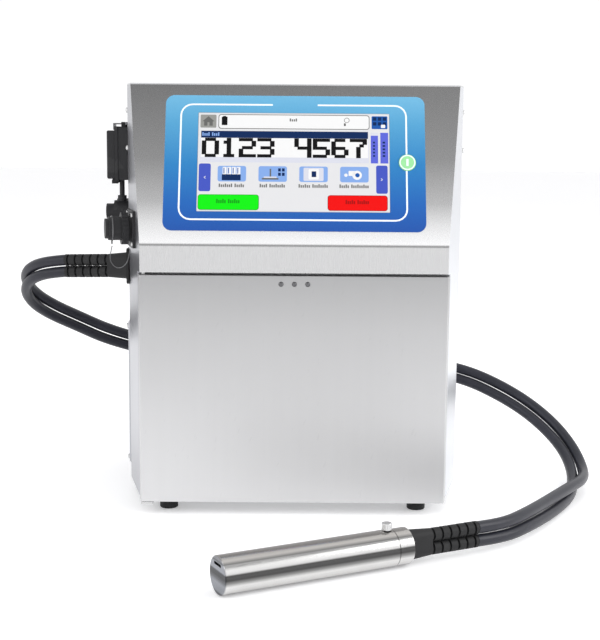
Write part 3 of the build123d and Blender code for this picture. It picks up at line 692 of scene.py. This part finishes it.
# ---- the cabinet's places, read from the frame
@dataclass
class Cabinet:
    """Where the cabinet stands in the row frame, and its leaning face."""

    origin: Vector
    lean: float

    @classmethod
    def from_frame(cls) -> "Cabinet":
        """Reads the centre line, the door's face and the lean from the CAD nodes' boxes."""
        back_low, back_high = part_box("back_panel")
        door_low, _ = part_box("front_door")
        film_low, film_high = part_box("overlay_panel")
        span = film_high - film_low
        first = atan2(span.y, span.z)
        lean = atan2(span.y - FILM_THICKNESS * cos(first), span.z - FILM_THICKNESS * sin(first))
        return cls(Vector(((back_low.x + back_high.x) / 2, door_low.y, 0)), lean)

    def spot(self, x: float, y: float, z: float) -> Vector:
        """A point given in millimetres from the cabinet's centre line, door face and floor."""
        return self.origin + Vector((x, y, z)) * MM

    def face(self, node: str, thickness: float) -> FlatPieces:
        """The outer face of a leaning plate.

        Args:
            node: the plate's CAD node.
            thickness: the plate's thickness in metres.

        Returns:
            An empty set of flat pieces about the middle of that face.
        """
        low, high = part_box(node)
        out = Vector((0, -cos(self.lean), sin(self.lean)))
        return FlatPieces((low + high) / 2 + out * (thickness / 2), Vector((1, 0, 0)),
                          Vector((0, sin(self.lean), cos(self.lean))), out)


# ---- the touch screen's picture
class Ink(Enum):
    """The colours of the screen's picture, as linear light."""

    PAPER = ("paper", linear(236, 236, 238))
    WHITE = ("white", linear(252, 252, 252))
    BLACK = ("black", linear(12, 12, 14))
    NAVY = ("navy", linear(12, 44, 94))
    VIOLET = ("violet", linear(98, 108, 224))
    ARROW = ("arrow", linear(74, 92, 200))
    TILE = ("tile", linear(140, 178, 240))
    PALE = ("pale", linear(226, 228, 240))
    STEEL = ("steel", linear(158, 158, 154))
    GREY = ("grey", linear(110, 110, 108))
    BLUE = ("blue", linear(32, 92, 176))
    GREEN = ("green", linear(10, 248, 14))
    DEEP_GREEN = ("deep_green", linear(14, 150, 20))
    RED = ("red", linear(250, 8, 8))
    DEEP_RED = ("deep_red", linear(160, 10, 10))


# Each digit's seven rows from the top, with a bit for each of the row's five cells.
DIGITS = {
    "0": (14, 17, 17, 17, 17, 17, 14), "1": (4, 12, 4, 4, 4, 4, 14), "2": (30, 1, 1, 14, 16, 16, 31),
    "3": (30, 1, 1, 14, 1, 1, 30), "4": (17, 17, 17, 15, 1, 1, 1), "5": (31, 16, 16, 30, 1, 1, 30),
    "6": (14, 16, 16, 30, 17, 17, 14), "7": (31, 1, 2, 4, 4, 4, 4),
}


@dataclass
class ScreenPicture:
    """A generic coder's menu: status line, a large number, four tiles, arrows and two buttons.

    Places are shares of the screen's width and height, from its lower left corner.
    """

    cabinet: Cabinet
    glass_thickness: float = 2.2 * MM
    width: float = 224.6 * MM
    height: float = 121.6 * MM
    sheet: float = 0.05 * MM
    number: str = "0123 4567"
    number_left: float = 0.024
    number_top: float = 0.738
    digit_pitch: float = 0.0965
    cell_wide: float = 0.0166
    cell_high: float = 0.0272
    cell_side: float = 0.22
    cell_lap: float = 0.1
    tile_middles: tuple[float, ...] = (0.18, 0.392, 0.604, 0.816)
    tile_low: float = 0.3
    tile_high: float = 0.457
    tile_half: float = 0.074
    stroke_wide: float = 0.0068
    stroke_pitch: float = 0.0104
    word_gap: float = 0.009

    def __post_init__(self) -> None:
        """Starts with no pieces of any colour."""
        self.pieces: dict[Ink, FlatPieces] = {}

    def bare(self, ink: Ink) -> FlatPieces:
        """The pieces of one colour so far."""
        if ink not in self.pieces:
            self.pieces[ink] = self.cabinet.face("screen_glass", self.glass_thickness)
        return self.pieces[ink]

    def centred(self, outline: Outline) -> Outline:
        """An outline measured from the screen's middle instead of its lower left corner."""
        return [(x - self.width / 2, y - self.height / 2) for x, y in outline]

    def shape(self, ink: Ink, outline: Outline, layer: int) -> None:
        """Adds a shape.

        Args:
            ink: its colour.
            outline: its corners in metres from the screen's lower left corner.
            layer: how many sheets lie under it.
        """
        self.bare(ink).prism(self.centred(outline), (layer - 0.5) * self.sheet, (layer + 1) * self.sheet)

    def patch(self, ink: Ink, u0: float, u1: float, v0: float, v1: float, layer: int = 1,
              corner: float = 0.0) -> None:
        """Adds a rectangle.

        Args:
            ink: its colour.
            u0, u1: its left and right sides.
            v0, v1: its lower and upper sides.
            layer: how many sheets lie under it.
            corner: its corners' radius in millimetres.
        """
        outline = rounded(u0 * self.width, u1 * self.width, v0 * self.height, v1 * self.height, corner * MM)
        self.shape(ink, outline, layer)

    def words(self, ink: Ink, u0: float, v0: float, lengths: tuple[int, ...], layer: int = 2,
              high: float = 0.026) -> None:
        """Adds a line of small strokes that stand in for a caption.

        Args:
            ink: their colour.
            u0, v0: the line's lower left corner.
            lengths: how many strokes each word has.
            layer: how many sheets lie under them.
            high: the strokes' height.
        """
        place = u0
        for word in lengths:
            for stroke in range(word):
                tall = high * (1.0 if stroke % 3 else 1.35)
                self.patch(ink, place, place + self.stroke_wide, v0, v0 + tall, layer)
                place += self.stroke_pitch
            place += self.word_gap

    def stroke(self, left: float, first: tuple[int, int], last: tuple[int, int], layer: int) -> None:
        """Adds one stroke of a digit.

        Args:
            left: the digit's left side.
            first, last: the stroke's end cells, as column and line.
            layer: how many sheets lie under it.
        """
        self.patch(Ink.BLACK, left + (first[0] - self.cell_side) * self.cell_wide,
                   left + (last[0] + 1 + self.cell_side) * self.cell_wide,
                   self.number_top - (last[1] + 1 + self.cell_lap) * self.cell_high,
                   self.number_top - (first[1] - self.cell_lap) * self.cell_high, layer)

    def digits(self) -> None:
        """Adds the large number; each digit is level strokes, upright strokes and the lone cells left."""
        for index, sign in enumerate(self.number):
            left = self.number_left + index * self.digit_pitch
            rows = DIGITS.get(sign, ())
            cells = sorted((column, line) for line, bits in enumerate(rows) for column in range(5)
                           if bits >> (4 - column) & 1)
            drawn = set()
            for across, down, layer in ((1, 0, 3), (0, 1, 4)):
                for column, line in cells:
                    run = [(column, line)]
                    while (run[-1][0] + across, run[-1][1] + down) in cells:
                        run.append((run[-1][0] + across, run[-1][1] + down))
                    if len(run) > 1 and (column - across, line - down) not in cells:
                        self.stroke(left, run[0], run[-1], layer)
                        drawn.update(run)
            for cell in cells:
                if cell not in drawn:
                    self.stroke(left, cell, cell, 5)

    def status_line(self) -> None:
        """Adds the home key, the status box with its level and lens signs, and the menu key."""
        self.patch(Ink.STEEL, 0.011, 0.094, 0.845, 0.978, 1, 1.2)
        house = ((0.03, 0.865), (0.047, 0.865), (0.047, 0.9), (0.058, 0.9), (0.058, 0.865), (0.075, 0.865),
                 (0.075, 0.91), (0.084, 0.91), (0.0525, 0.962), (0.021, 0.91), (0.03, 0.91))
        self.shape(Ink.GREY, [(self.width * u, self.height * v) for u, v in house], 2)
        self.patch(Ink.GREY, 0.105, 0.896, 0.835, 0.984, 1, 3.3)
        self.patch(Ink.WHITE, 0.1085, 0.8925, 0.842, 0.977, 2, 2.8)
        self.patch(Ink.BLACK, 0.122, 0.152, 0.872, 0.958, 3, 0.5)
        self.patch(Ink.BLACK, 0.129, 0.145, 0.958, 0.966, 3)
        self.words(Ink.GREY, 0.478, 0.915, (4,), 3, 0.022)
        inner, outer = (self.centred(circle(0.777 * self.width, 0.93 * self.height, radius * MM))
                        for radius in (2.6, 3.2))
        self.bare(Ink.GREY).ribbon(inner, outer, 2.5 * self.sheet, 4 * self.sheet)
        self.patch(Ink.GREY, 0.762, 0.772, 0.872, 0.9, 3)
        self.patch(Ink.BLUE, 0.907, 0.99, 0.843, 0.975, 1, 1.2)
        for column in range(3):
            for line in range(2):
                left, low = 0.914 + 0.026 * column, 0.93 - 0.05 * line
                self.patch(Ink.NAVY, left, left + 0.018, low, low + 0.034, 2)
        self.patch(Ink.WHITE, 0.956, 0.978, 0.855, 0.888, 3, 0.8)

    def message(self) -> None:
        """Adds the title bar, the message's field and number, and the two upright bars beside them."""
        self.patch(Ink.PALE, 0.012, 0.892, 0.494, 0.742, 1)
        self.patch(Ink.WHITE, 0.016, 0.888, 0.546, 0.742, 2)
        self.patch(Ink.NAVY, 0.016, 0.888, 0.742, 0.813, 1)
        self.words(Ink.TILE, 0.022, 0.762, (4, 4), 2, 0.026)
        self.digits()
        for left, right, filled in ((0.902, 0.94, 0.775), (0.952, 0.993, 0.806)):
            self.patch(Ink.PALE, left, right, 0.493, 0.806, 1)
            self.patch(Ink.VIOLET, left, right, 0.493, filled, 2)
            for step in range(5):
                low = 0.56 + 0.034 * step
                self.patch(Ink.NAVY, left + 0.012, right - 0.016, low, low + 0.018, 3)

    def tiles(self) -> None:
        """Adds the four menu tiles, each with a plain sign and a caption of strokes."""
        captions = ((7, 5), (4, 8), (6, 8), (5, 9))
        for middle, lengths in zip(self.tile_middles, captions):
            self.patch(Ink.TILE, middle - self.tile_half, middle + self.tile_half, self.tile_low,
                       self.tile_high, 1, 2.6)
            span = sum(lengths) * self.stroke_pitch + self.word_gap
            self.words(Ink.GREY, middle - span / 2, 0.243, lengths)
        files, line, cards, head = self.tile_middles
        self.patch(Ink.NAVY, files - 0.052, files + 0.046, 0.312, 0.372, 2, 0.6)
        for step in range(4):
            left = files - 0.048 + 0.024 * step
            self.patch(Ink.WHITE, left, left + 0.02, 0.372, 0.446, 2, 0.4)
            self.patch(Ink.BLUE, left + 0.004, left + 0.009, 0.38, 0.438, 3)
        self.patch(Ink.GREY, line - 0.056, line + 0.03, 0.322, 0.338, 2)
        self.patch(Ink.PALE, line - 0.046, line + 0.02, 0.338, 0.352, 2)
        self.patch(Ink.GREY, line - 0.016, line - 0.008, 0.352, 0.43, 2)
        for step in range(4):
            left, low = line + 0.028 + 0.02 * (step % 2), 0.36 + 0.044 * (step // 2)
            self.patch(Ink.NAVY, left, left + 0.014, low, low + 0.032, 2)
        self.patch(Ink.PALE, cards - 0.052, cards + 0.052, 0.312, 0.444, 2, 1.4)
        self.patch(Ink.WHITE, cards - 0.026, cards + 0.028, 0.326, 0.432, 3, 1.4)
        self.patch(Ink.NAVY, cards - 0.01, cards + 0.014, 0.35, 0.408, 4, 0.4)
        for x, radius in ((-0.044, 2.0), (0.014, 5.6)):
            self.shape(Ink.WHITE, circle((head + x) * self.width, 0.372 * self.height, radius * MM), 2)
        self.shape(Ink.BLUE, circle((head + 0.016) * self.width, 0.372 * self.height, 2.6 * MM), 3)
        self.patch(Ink.WHITE, head - 0.03, head + 0.004, 0.365, 0.415, 2, 0.6)

    def keys(self) -> None:
        """Adds the two arrow keys and the green and red buttons."""
        arrow = ((1.1, 0.0), (-0.9, 1.7), (-1.3, 1.3), (0.2, 0.0), (-1.3, -1.3), (-0.9, -1.7))
        for left, right, low, high, way in ((0.008, 0.07, 0.2, 0.48, -1), (0.929, 0.989, 0.188, 0.472, 1)):
            self.patch(Ink.ARROW, left, right, low, high, 1, 2.4)
            middle, level = (left + right) / 2 * self.width, (low + high) / 2 * self.height
            self.shape(Ink.WHITE, [(middle + way * x * MM, level + y * MM) for x, y in arrow], 2)
        for left, right, face, shade in ((0.006, 0.322, Ink.GREEN, Ink.DEEP_GREEN),
                                         (0.677, 0.988, Ink.RED, Ink.DEEP_RED)):
            self.patch(shade, left, right, 0.014, 0.17, 1, 3.4)
            self.patch(face, left + 0.003, right - 0.003, 0.02, 0.165, 2, 3.0)
            self.words(shade, (left + right) / 2 - 0.062, 0.082, (5, 6), 3, 0.03)

    def build(self) -> None:
        """Builds the whole picture, one object for each colour."""
        self.patch(Ink.PAPER, 0.002, 0.998, 0.004, 0.996, 0)
        self.status_line()
        self.message()
        self.tiles()
        self.keys()
        for ink, pieces in self.pieces.items():
            label, colour = ink.value
            name = "screen_" + label
            pieces.finish(name, "cabinet", LitInk(name, colour))


@dataclass
class FilmPrint:
    """The white line that frames the screen, and the power button's ring and bar."""

    cabinet: Cabinet
    left: float = -134.3 * MM
    right: float = 130.6 * MM
    low: float = -69.8 * MM
    high: float = 71.8 * MM
    corner: float = 13.5 * MM
    line: float = 2.0 * MM
    gap: float = 26.5 * MM
    ink: float = 0.06 * MM
    button_x: float = 131.5 * MM
    button_y: float = 1.2 * MM
    button_proud: float = 0.8 * MM
    ring_in: float = 7.9 * MM
    ring_out: float = 9.3 * MM
    bar_half_wide: float = 1.3 * MM
    bar_half_high: float = 4.3 * MM
    bar_corner: float = 0.4 * MM

    def frame_line(self, inset: float) -> Outline:
        """One edge of the frame line, from the right end of its gap round to the left end.

        Args:
            inset: metres inside the line's middle.

        Returns:
            The edge's points.
        """
        corners = rounded(self.left + inset, self.right - inset, self.low + inset, self.high - inset,
                          self.corner - inset)
        first = len(corners) // 2
        turned = list(reversed(corners[first:] + corners[:first]))
        top = self.high - inset
        return [(self.gap, top), *turned, (-self.gap, top)]

    def build(self) -> None:
        """Builds the line, the ring and the bar."""
        face = self.cabinet.face("overlay_panel", FILM_THICKNESS)
        half = self.line / 2
        face.ribbon(self.frame_line(half), self.frame_line(-half), -self.ink, self.ink, closed=False)
        white = PaintedMark("film_white", linear(238, 246, 250))
        face.finish("film_frame_line", "cabinet", white)
        top = self.cabinet.face("overlay_panel", FILM_THICKNESS)
        x, y = self.button_x, self.button_y
        under, over = self.button_proud - self.ink, self.button_proud + 2 * self.ink
        top.ribbon(circle(x, y, self.ring_in), circle(x, y, self.ring_out), under, over)
        top.prism(rounded(x - self.bar_half_wide, x + self.bar_half_wide, y - self.bar_half_high,
                          y + self.bar_half_high, self.bar_corner), under, over)
        top.finish("button_ring_and_bar", "button", white)


# ---- cords, as the points of their curves in millimetres from the cabinet's centre line, door face and floor
HOSE_RADIUS = 6.9 * MM
WIRE_RADIUS = 0.5 * MM
HOSE_A = [
    (-288.07, 138.34, 288.64), (-309, 145.5, 286.5), (-333.5, 162, 279.5), (-349, 184.5, 267.5),
    (-354, 212, 251), (-345, 238, 231.5), (-324.5, 262.5, 213.5), (-297.5, 288, 196), (-259.5, 309, 174.5),
    (-208.5, 324.5, 157), (-135, 333, 145.5), (-51.5, 336, 138.5), (45.5, 335, 135.5), (135.5, 333, 131.5),
    (201, 329, 126), (249.5, 316.5, 117.5), (295, 291.5, 100), (330, 262, 81), (356.5, 223.5, 60.5),
    (373, 183, 38.5), (377.5, 141.5, 19), (366.5, 96, 19.6), (342, 51.5, 22.6), (305.5, -5.5, 22.8),
    (265.5, -71, 25), (231.5, -111.5, 24.5), (199.92, -133.19, 27.35),
]
HOSE_B = [
    (-287.46, 138.14, 273.95), (-306.5, 144.5, 272), (-330, 159, 265.5), (-346, 178.5, 254.5),
    (-354, 204, 238.5), (-348.5, 231, 219), (-329.5, 257.5, 200.5), (-302.5, 284, 183),
    (-264.5, 307, 160.5), (-211.5, 323.5, 143), (-137, 333, 130.5), (-52.5, 336, 123.5), (44.5, 335, 120.5),
    (134.5, 333, 116.5), (199, 327, 112), (244.5, 313.5, 104.5), (287, 288.5, 88), (320, 258, 71),
    (343.5, 220.5, 53.5), (359, 181, 35.5), (362.5, 142.5, 19), (355, 100, 9), (339.7, 52.7, 7.3),
    (308.5, -7.5, 7.8), (268, -73, 10.5), (232.5, -112.5, 10), (199.92, -133.19, 12.65),
]
FRONT_WIRE = [
    (-217, 48, 315), (-219, 46, 306), (-219, 43, 298), (-214, 40, 291), (-207, 38, 289), (-200, 37, 293),
    (-196, 37, 301), (-195, 38, 310),
]
REAR_WIRE = [
    (-221, 196, 333), (-224, 195, 324), (-225, 192, 315), (-221, 188, 308), (-215, 184, 306),
    (-209, 181, 310), (-206, 180, 318), (-206, 180, 326),
]


@dataclass
class Cord:
    """One hose or wire, along the same points as its CAD node."""

    node: str
    points: list[Place]
    radius: float
    length: float
    slot: str
    finish: Finish
    stiffness: str = "stiff"

    def build(self, cabinet: Cabinet) -> bpy.types.Object:
        """Args:
            cabinet: where its points are measured from.

        Returns:
            The curve object.
        """
        route = [cabinet.spot(*point) for point in self.points]
        curve = bpy.data.curves.new(self.node + "_line", "CURVE")
        curve.dimensions = "3D"
        spline = curve.splines.new("NURBS")
        spline.points.add(len(route) - 1)
        for control, point in zip(spline.points, route):
            control.co = (*point, 1.0)
        spline.order_u = 3
        spline.use_endpoint_u = True
        curve.resolution_u = 10
        curve.bevel_depth = self.radius
        curve.bevel_resolution = 7
        curve.use_fill_caps = True
        curve.materials.append(self.finish.material())
        piece = bpy.data.objects.new(self.node + "_curve", curve)
        bpy.context.collection.objects.link(piece)
        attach(piece, "cabinet")
        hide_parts(self.node)
        LOG.info("built %s, %.0f mm long", piece.name, self.length / MM)
        return piece


# ---- dressing the CAD pieces
# Painted shade and reflections of the hood, the door and the head, by height over the floor in metres.
# The hood darkens upwards as painted shade and reflection. The dark line at the bend between the nose and the
# slanted face is a painted crease shadow.
HOOD_PAINTED_SHADE = greys((0.289, 0.60), (0.3195, 0.62), (0.3204, 0.3), (0.3218, 0.3), (0.3232, 0.95),
                  (0.345, 0.78), (0.37, 0.5), (0.42, 0.31), (0.507, 0.235))
# The door is brighter at its foot and darker at its top: a painted reflection of the floor and painted shade.
DOOR_PAINTED_SHADE = greys((0.014, 1.0), (0.12, 0.9), (0.22, 0.76), (0.286, 0.62))
# The head's bands are painted reflections round the polished tube, with a painted contact shadow at its foot.
HEAD_PAINTED_REFLECTIONS = (
    *greys((0.0, 0.3), (0.003, 0.3), (0.0045, 0.95), (0.013, 1.0), (0.0165, 0.4), (0.02, 0.1),
           (0.0245, 0.13), (0.0262, 1.0), (0.0325, 1.0), (0.0345, 0.3)),
    (0.0368, (0.74, 0.72, 0.7)), (0.04, (0.62, 0.6, 0.58)),
)
# The head's tip and the direction of its length, and its rings by millimetres from the tip: a darker
# blue-grey tip face, and a painted shadow in the collar's seam.
HEAD_TIP = (-72.7, -271.5, 20.0)
HEAD_WAY = (0.8918, 0.4524, 0.0)
HEAD_RINGS_WITH_SEAM_SHADOW = (
    (-1.0, (0.28, 0.3, 0.35)), (0.3, (0.28, 0.3, 0.35)),
    *greys((0.9, 1.0), (197.5, 1.0), (197.9, 0.2), (198.7, 0.2), (199.1, 1.0), (220.0, 1.0)),
)


@dataclass
class Wardrobe:
    """Which finish each CAD node wears."""

    cabinet: Cabinet

    def __post_init__(self) -> None:
        """Mixes the finishes and lists the nodes that wear each of them."""
        film_low, film_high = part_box("overlay_panel")
        panel = Brushed(streaks=0.05)
        # The right side panel is a lighter, bluish copy of the stainless as painted reflection, and the left
        # side a darker copy as painted shade.
        side = Brushed("side_stainless", (0.72, 0.735, 0.765), streaks=0.04)
        left = Brushed("left_stainless", (0.43, 0.435, 0.46), streaks=0.04)
        # The hood's finish carries painted shade and reflection by height.
        hood = Brushed("hood_stainless", (0.98, 0.98, 0.985), 0.27, streaks=0.04, fade=HOOD_PAINTED_SHADE)
        # The door's finish carries painted reflection and shade by height.
        door = Brushed("door_stainless", (0.66, 0.66, 0.665), 0.46, streaks=0.03, across=760.0,
                       fade=DOOR_PAINTED_SHADE)
        inner = Brushed("inner_sheet", (0.5, 0.505, 0.515), 0.42, streaks=0.05)
        tip = self.cabinet.spot(*HEAD_TIP).dot(Vector(HEAD_WAY))
        rings = tuple((tip + place * MM, colour) for place, colour in HEAD_RINGS_WITH_SEAM_SHADOW)
        # The tube wears painted reflection bands and a painted seam shadow.
        tube = Polished(lines=HEAD_WAY, bands=HEAD_PAINTED_REFLECTIONS, rings=rings)
        fitting = Polished("bright_fittings", grey(0.66), roughness=0.24)
        # A dark steel. On the door studs its darkness is painted shade that stands in for the shading of
        # their small domes.
        dark_steel_fittings = Polished("dull_fittings", (0.16, 0.16, 0.165), roughness=0.3)
        black = Moulded()
        rubber = Moulded("black_rubber", (0.012, 0.012, 0.013), grey(0.04), 0.58, 900.0, 0.2 * MM)
        moulding = Moulded("grey_moulding", (0.075, 0.077, 0.08), grey(0.13), 0.48)
        natural = Moulded("natural_plastic", (0.66, 0.66, 0.63), (0.5, 0.5, 0.47), 0.42, 600.0)
        painted = Moulded("dark_castings", (0.06, 0.062, 0.068), grey(0.12), 0.45, 1100.0)
        self.hose = Moulded("hose_jacket", (0.02, 0.021, 0.029), (0.03, 0.03, 0.042), 0.36, 1200.0,
                            0.08 * MM)
        self.wire = dark_steel_fittings
        self.worn_by: list[tuple[Finish, tuple[str, ...]]] = [
            (panel, ("top_cover", "back_panel", "umbilical_rest")),
            (side, ("right_side_panel",)),
            (left, ("left_side_panel", "left_access_plate")),
            (hood, ("hood_panel",)),
            (door, ("front_door",)),
            (inner, ("base_pan", "middle_shelf", "door_frame", "power_supply", "head_deck",
                     "deflector_plates", "drop_generator", "ink_gutter")),
            (tube, ("head_cover_tube", "head_collar")),
            (fitting, ("door_hinge_brackets", "panel_screws", "foot_screws", "head_thumbscrew", "fan_guard")),
            (dark_steel_fittings, ("door_studs", "box_latch", "lanyard_rings")),
            (black, ("inlet_box_base", "inlet_box_cover", "side_connectors", "dust_cap_front",
                     "dust_cap_rear", "connector_plate", "link_lead_plug", "fan_frame", "fan_rotor",
                     "button_switch", "display_module", "charge_electrode")),
            (rubber, ("rubber_feet", "door_seal", "cabinet_strain_relief", "head_strain_relief")),
            (moulding, ("cartridge_dock", "main_filter")),
            (natural, ("ink_tank", "ink_tubes", "solvent_cartridge")),
            (painted, ("door_magnets", "pump_head", "pump_motor", "valve_manifold", "ink_cartridge")),
            (PrintedFilm(film_low.z, film_high.z), ("overlay_panel",)),
            (LitInk("screen_glass", linear(236, 238, 240), 0.2), ("screen_glass",)),
            (PaintedMark("button_green", linear(146, 214, 150), 0.3, 0.06), ("power_button",)),
            (CircuitBoard(), ("main_board",)),
        ]

    def dress(self, nodes: dict[str, bpy.types.Object]) -> None:
        """Puts each finish on its nodes.

        Args:
            nodes: the CAD objects by node name.
        """
        for finish, names in self.worn_by:
            for name in names:
                piece = nodes[name]
                if not piece.material_slots:
                    piece.data.materials.append(finish.material())
                for slot in piece.material_slots:
                    slot.material = finish.material()
            LOG.info("dressed %d nodes in %s", len(names), finish.label)


# ---- studio
@dataclass
class Studio:
    """Floor, soft light and camera.

    The sky's stops run from straight down at 0 to straight up at 1.
    """

    cabinet: Cabinet
    floor_half: float = 14.0
    floor_drop: float = 0.2 * MM
    sky_stops: tuple[tuple[float, float], ...] = (
        (0.0, 0.84), (0.62, 0.84), (0.72, 1.0), (0.80, 1.0), (0.86, 0.4), (0.93, 0.24), (1.0, 0.3),
    )
    sky_blue: float = 1.01
    sky_strength: float = 1.22
    aim_height: float = 0.2
    lens: float = 72.8
    camera_place: Place = (1.2, -1491.4, 451.3)
    pitch: float = 0.1445
    yaw: float = -0.0041
    roll: float = 0.008

    def floor(self) -> None:
        """Builds the pale floor."""
        data = bpy.data.meshes.new("studio_floor")
        half = self.floor_half
        corners = [(-half, -half, 0), (half, -half, 0), (half, half, 0), (-half, half, 0)]
        data.from_pydata(corners, [], [(0, 1, 2, 3)])
        data.materials.append(StudioPaper().material())
        sheet = bpy.data.objects.new("studio_floor", data)
        sheet.location.z = -self.floor_drop
        bpy.context.collection.objects.link(sheet)

    def sky(self) -> None:
        """Makes the surroundings bright a little above eye level and darker overhead."""
        world = bpy.data.worlds.new("soft_room")
        world.use_nodes = True
        bpy.context.scene.world = world
        tree = world.node_tree
        where = tree.nodes.new("ShaderNodeTexCoord")
        height = tree.nodes.new("ShaderNodeSeparateXYZ")
        tree.links.new(where.outputs["Generated"], height.inputs[0])
        climb = Wire(tree, height.outputs["Z"]) * 0.5 + 0.5
        ramp = tree.nodes.new("ShaderNodeValToRGB")
        tree.links.new(climb.socket, ramp.inputs[0])
        set_stops(ramp.color_ramp, tuple((place, (light, light, light * self.sky_blue))
                                         for place, light in self.sky_stops))
        background = tree.nodes["Background"]
        tree.links.new(ramp.outputs[0], background.inputs["Color"])
        background.inputs["Strength"].default_value = self.sky_strength

    def lamp(self, name: str, place: Place, size: float, power: float) -> None:
        """Adds one soft box that looks at the cabinet.

        Args:
            name: its name.
            place: metres from the cabinet's door.
            size: its side in metres.
            power: its power in watts.
        """
        light = bpy.data.lights.new(name, "AREA")
        light.size, light.energy = size, power
        box = bpy.data.objects.new(name, light)
        box.location = self.cabinet.origin + Vector(place)
        aim = self.cabinet.origin + Vector((0, 0, self.aim_height)) - box.location
        box.rotation_euler = aim.to_track_quat("-Z", "Y").to_euler()
        bpy.context.collection.objects.link(box)

    def camera(self) -> None:
        """Sets the camera in front of the door, a little above the panel and looking slightly down."""
        data = bpy.data.cameras.new("studio_camera")
        data.lens = self.lens
        data.clip_end = 100.0
        camera = bpy.data.objects.new("studio_camera", data)
        turn = Matrix.Rotation(self.yaw, 4, "Z") @ Matrix.Rotation(pi / 2 - self.pitch, 4, "X")
        camera.matrix_world = (Matrix.Translation(self.cabinet.spot(*self.camera_place)) @ turn
                               @ Matrix.Rotation(self.roll, 4, "Z"))
        bpy.context.collection.objects.link(camera)
        bpy.context.scene.camera = camera

    def build(self) -> None:
        """Builds the whole studio."""
        self.floor()
        self.sky()
        self.lamp("overhead_box", (0.2, 0.3, 3.4), 5.0, 60.0)
        self.lamp("left_box", (-2.2, -1.0, 1.3), 1.4, 7.0)
        self.lamp("right_box", (2.2, -0.4, 1.2), 1.4, 22.0)
        self.camera()
        bpy.context.scene.view_settings.view_transform = "Standard"


def main() -> None:
    """Builds the printer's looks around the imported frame."""
    logging.basicConfig(level=logging.INFO, format="%(name)s: %(message)s")
    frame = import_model()
    cabinet = Cabinet.from_frame()
    wardrobe = Wardrobe(cabinet)
    wardrobe.dress(frame["nodes"])
    for cord in (
        Cord("umbilical_hose_a", HOSE_A, HOSE_RADIUS, 1372 * MM, "hose", wardrobe.hose),
        Cord("umbilical_hose_b", HOSE_B, HOSE_RADIUS, 1351 * MM, "hose", wardrobe.hose),
        Cord("lanyard_front", FRONT_WIRE, WIRE_RADIUS, 59 * MM, "bright", wardrobe.wire),
        Cord("lanyard_rear", REAR_WIRE, WIRE_RADIUS, 58 * MM, "bright", wardrobe.wire),
    ):
        cord.build(cabinet)
    FilmPrint(cabinet).build()
    ScreenPicture(cabinet).build()
    Studio(cabinet).build()


if __name__ == "__main__":
    main()
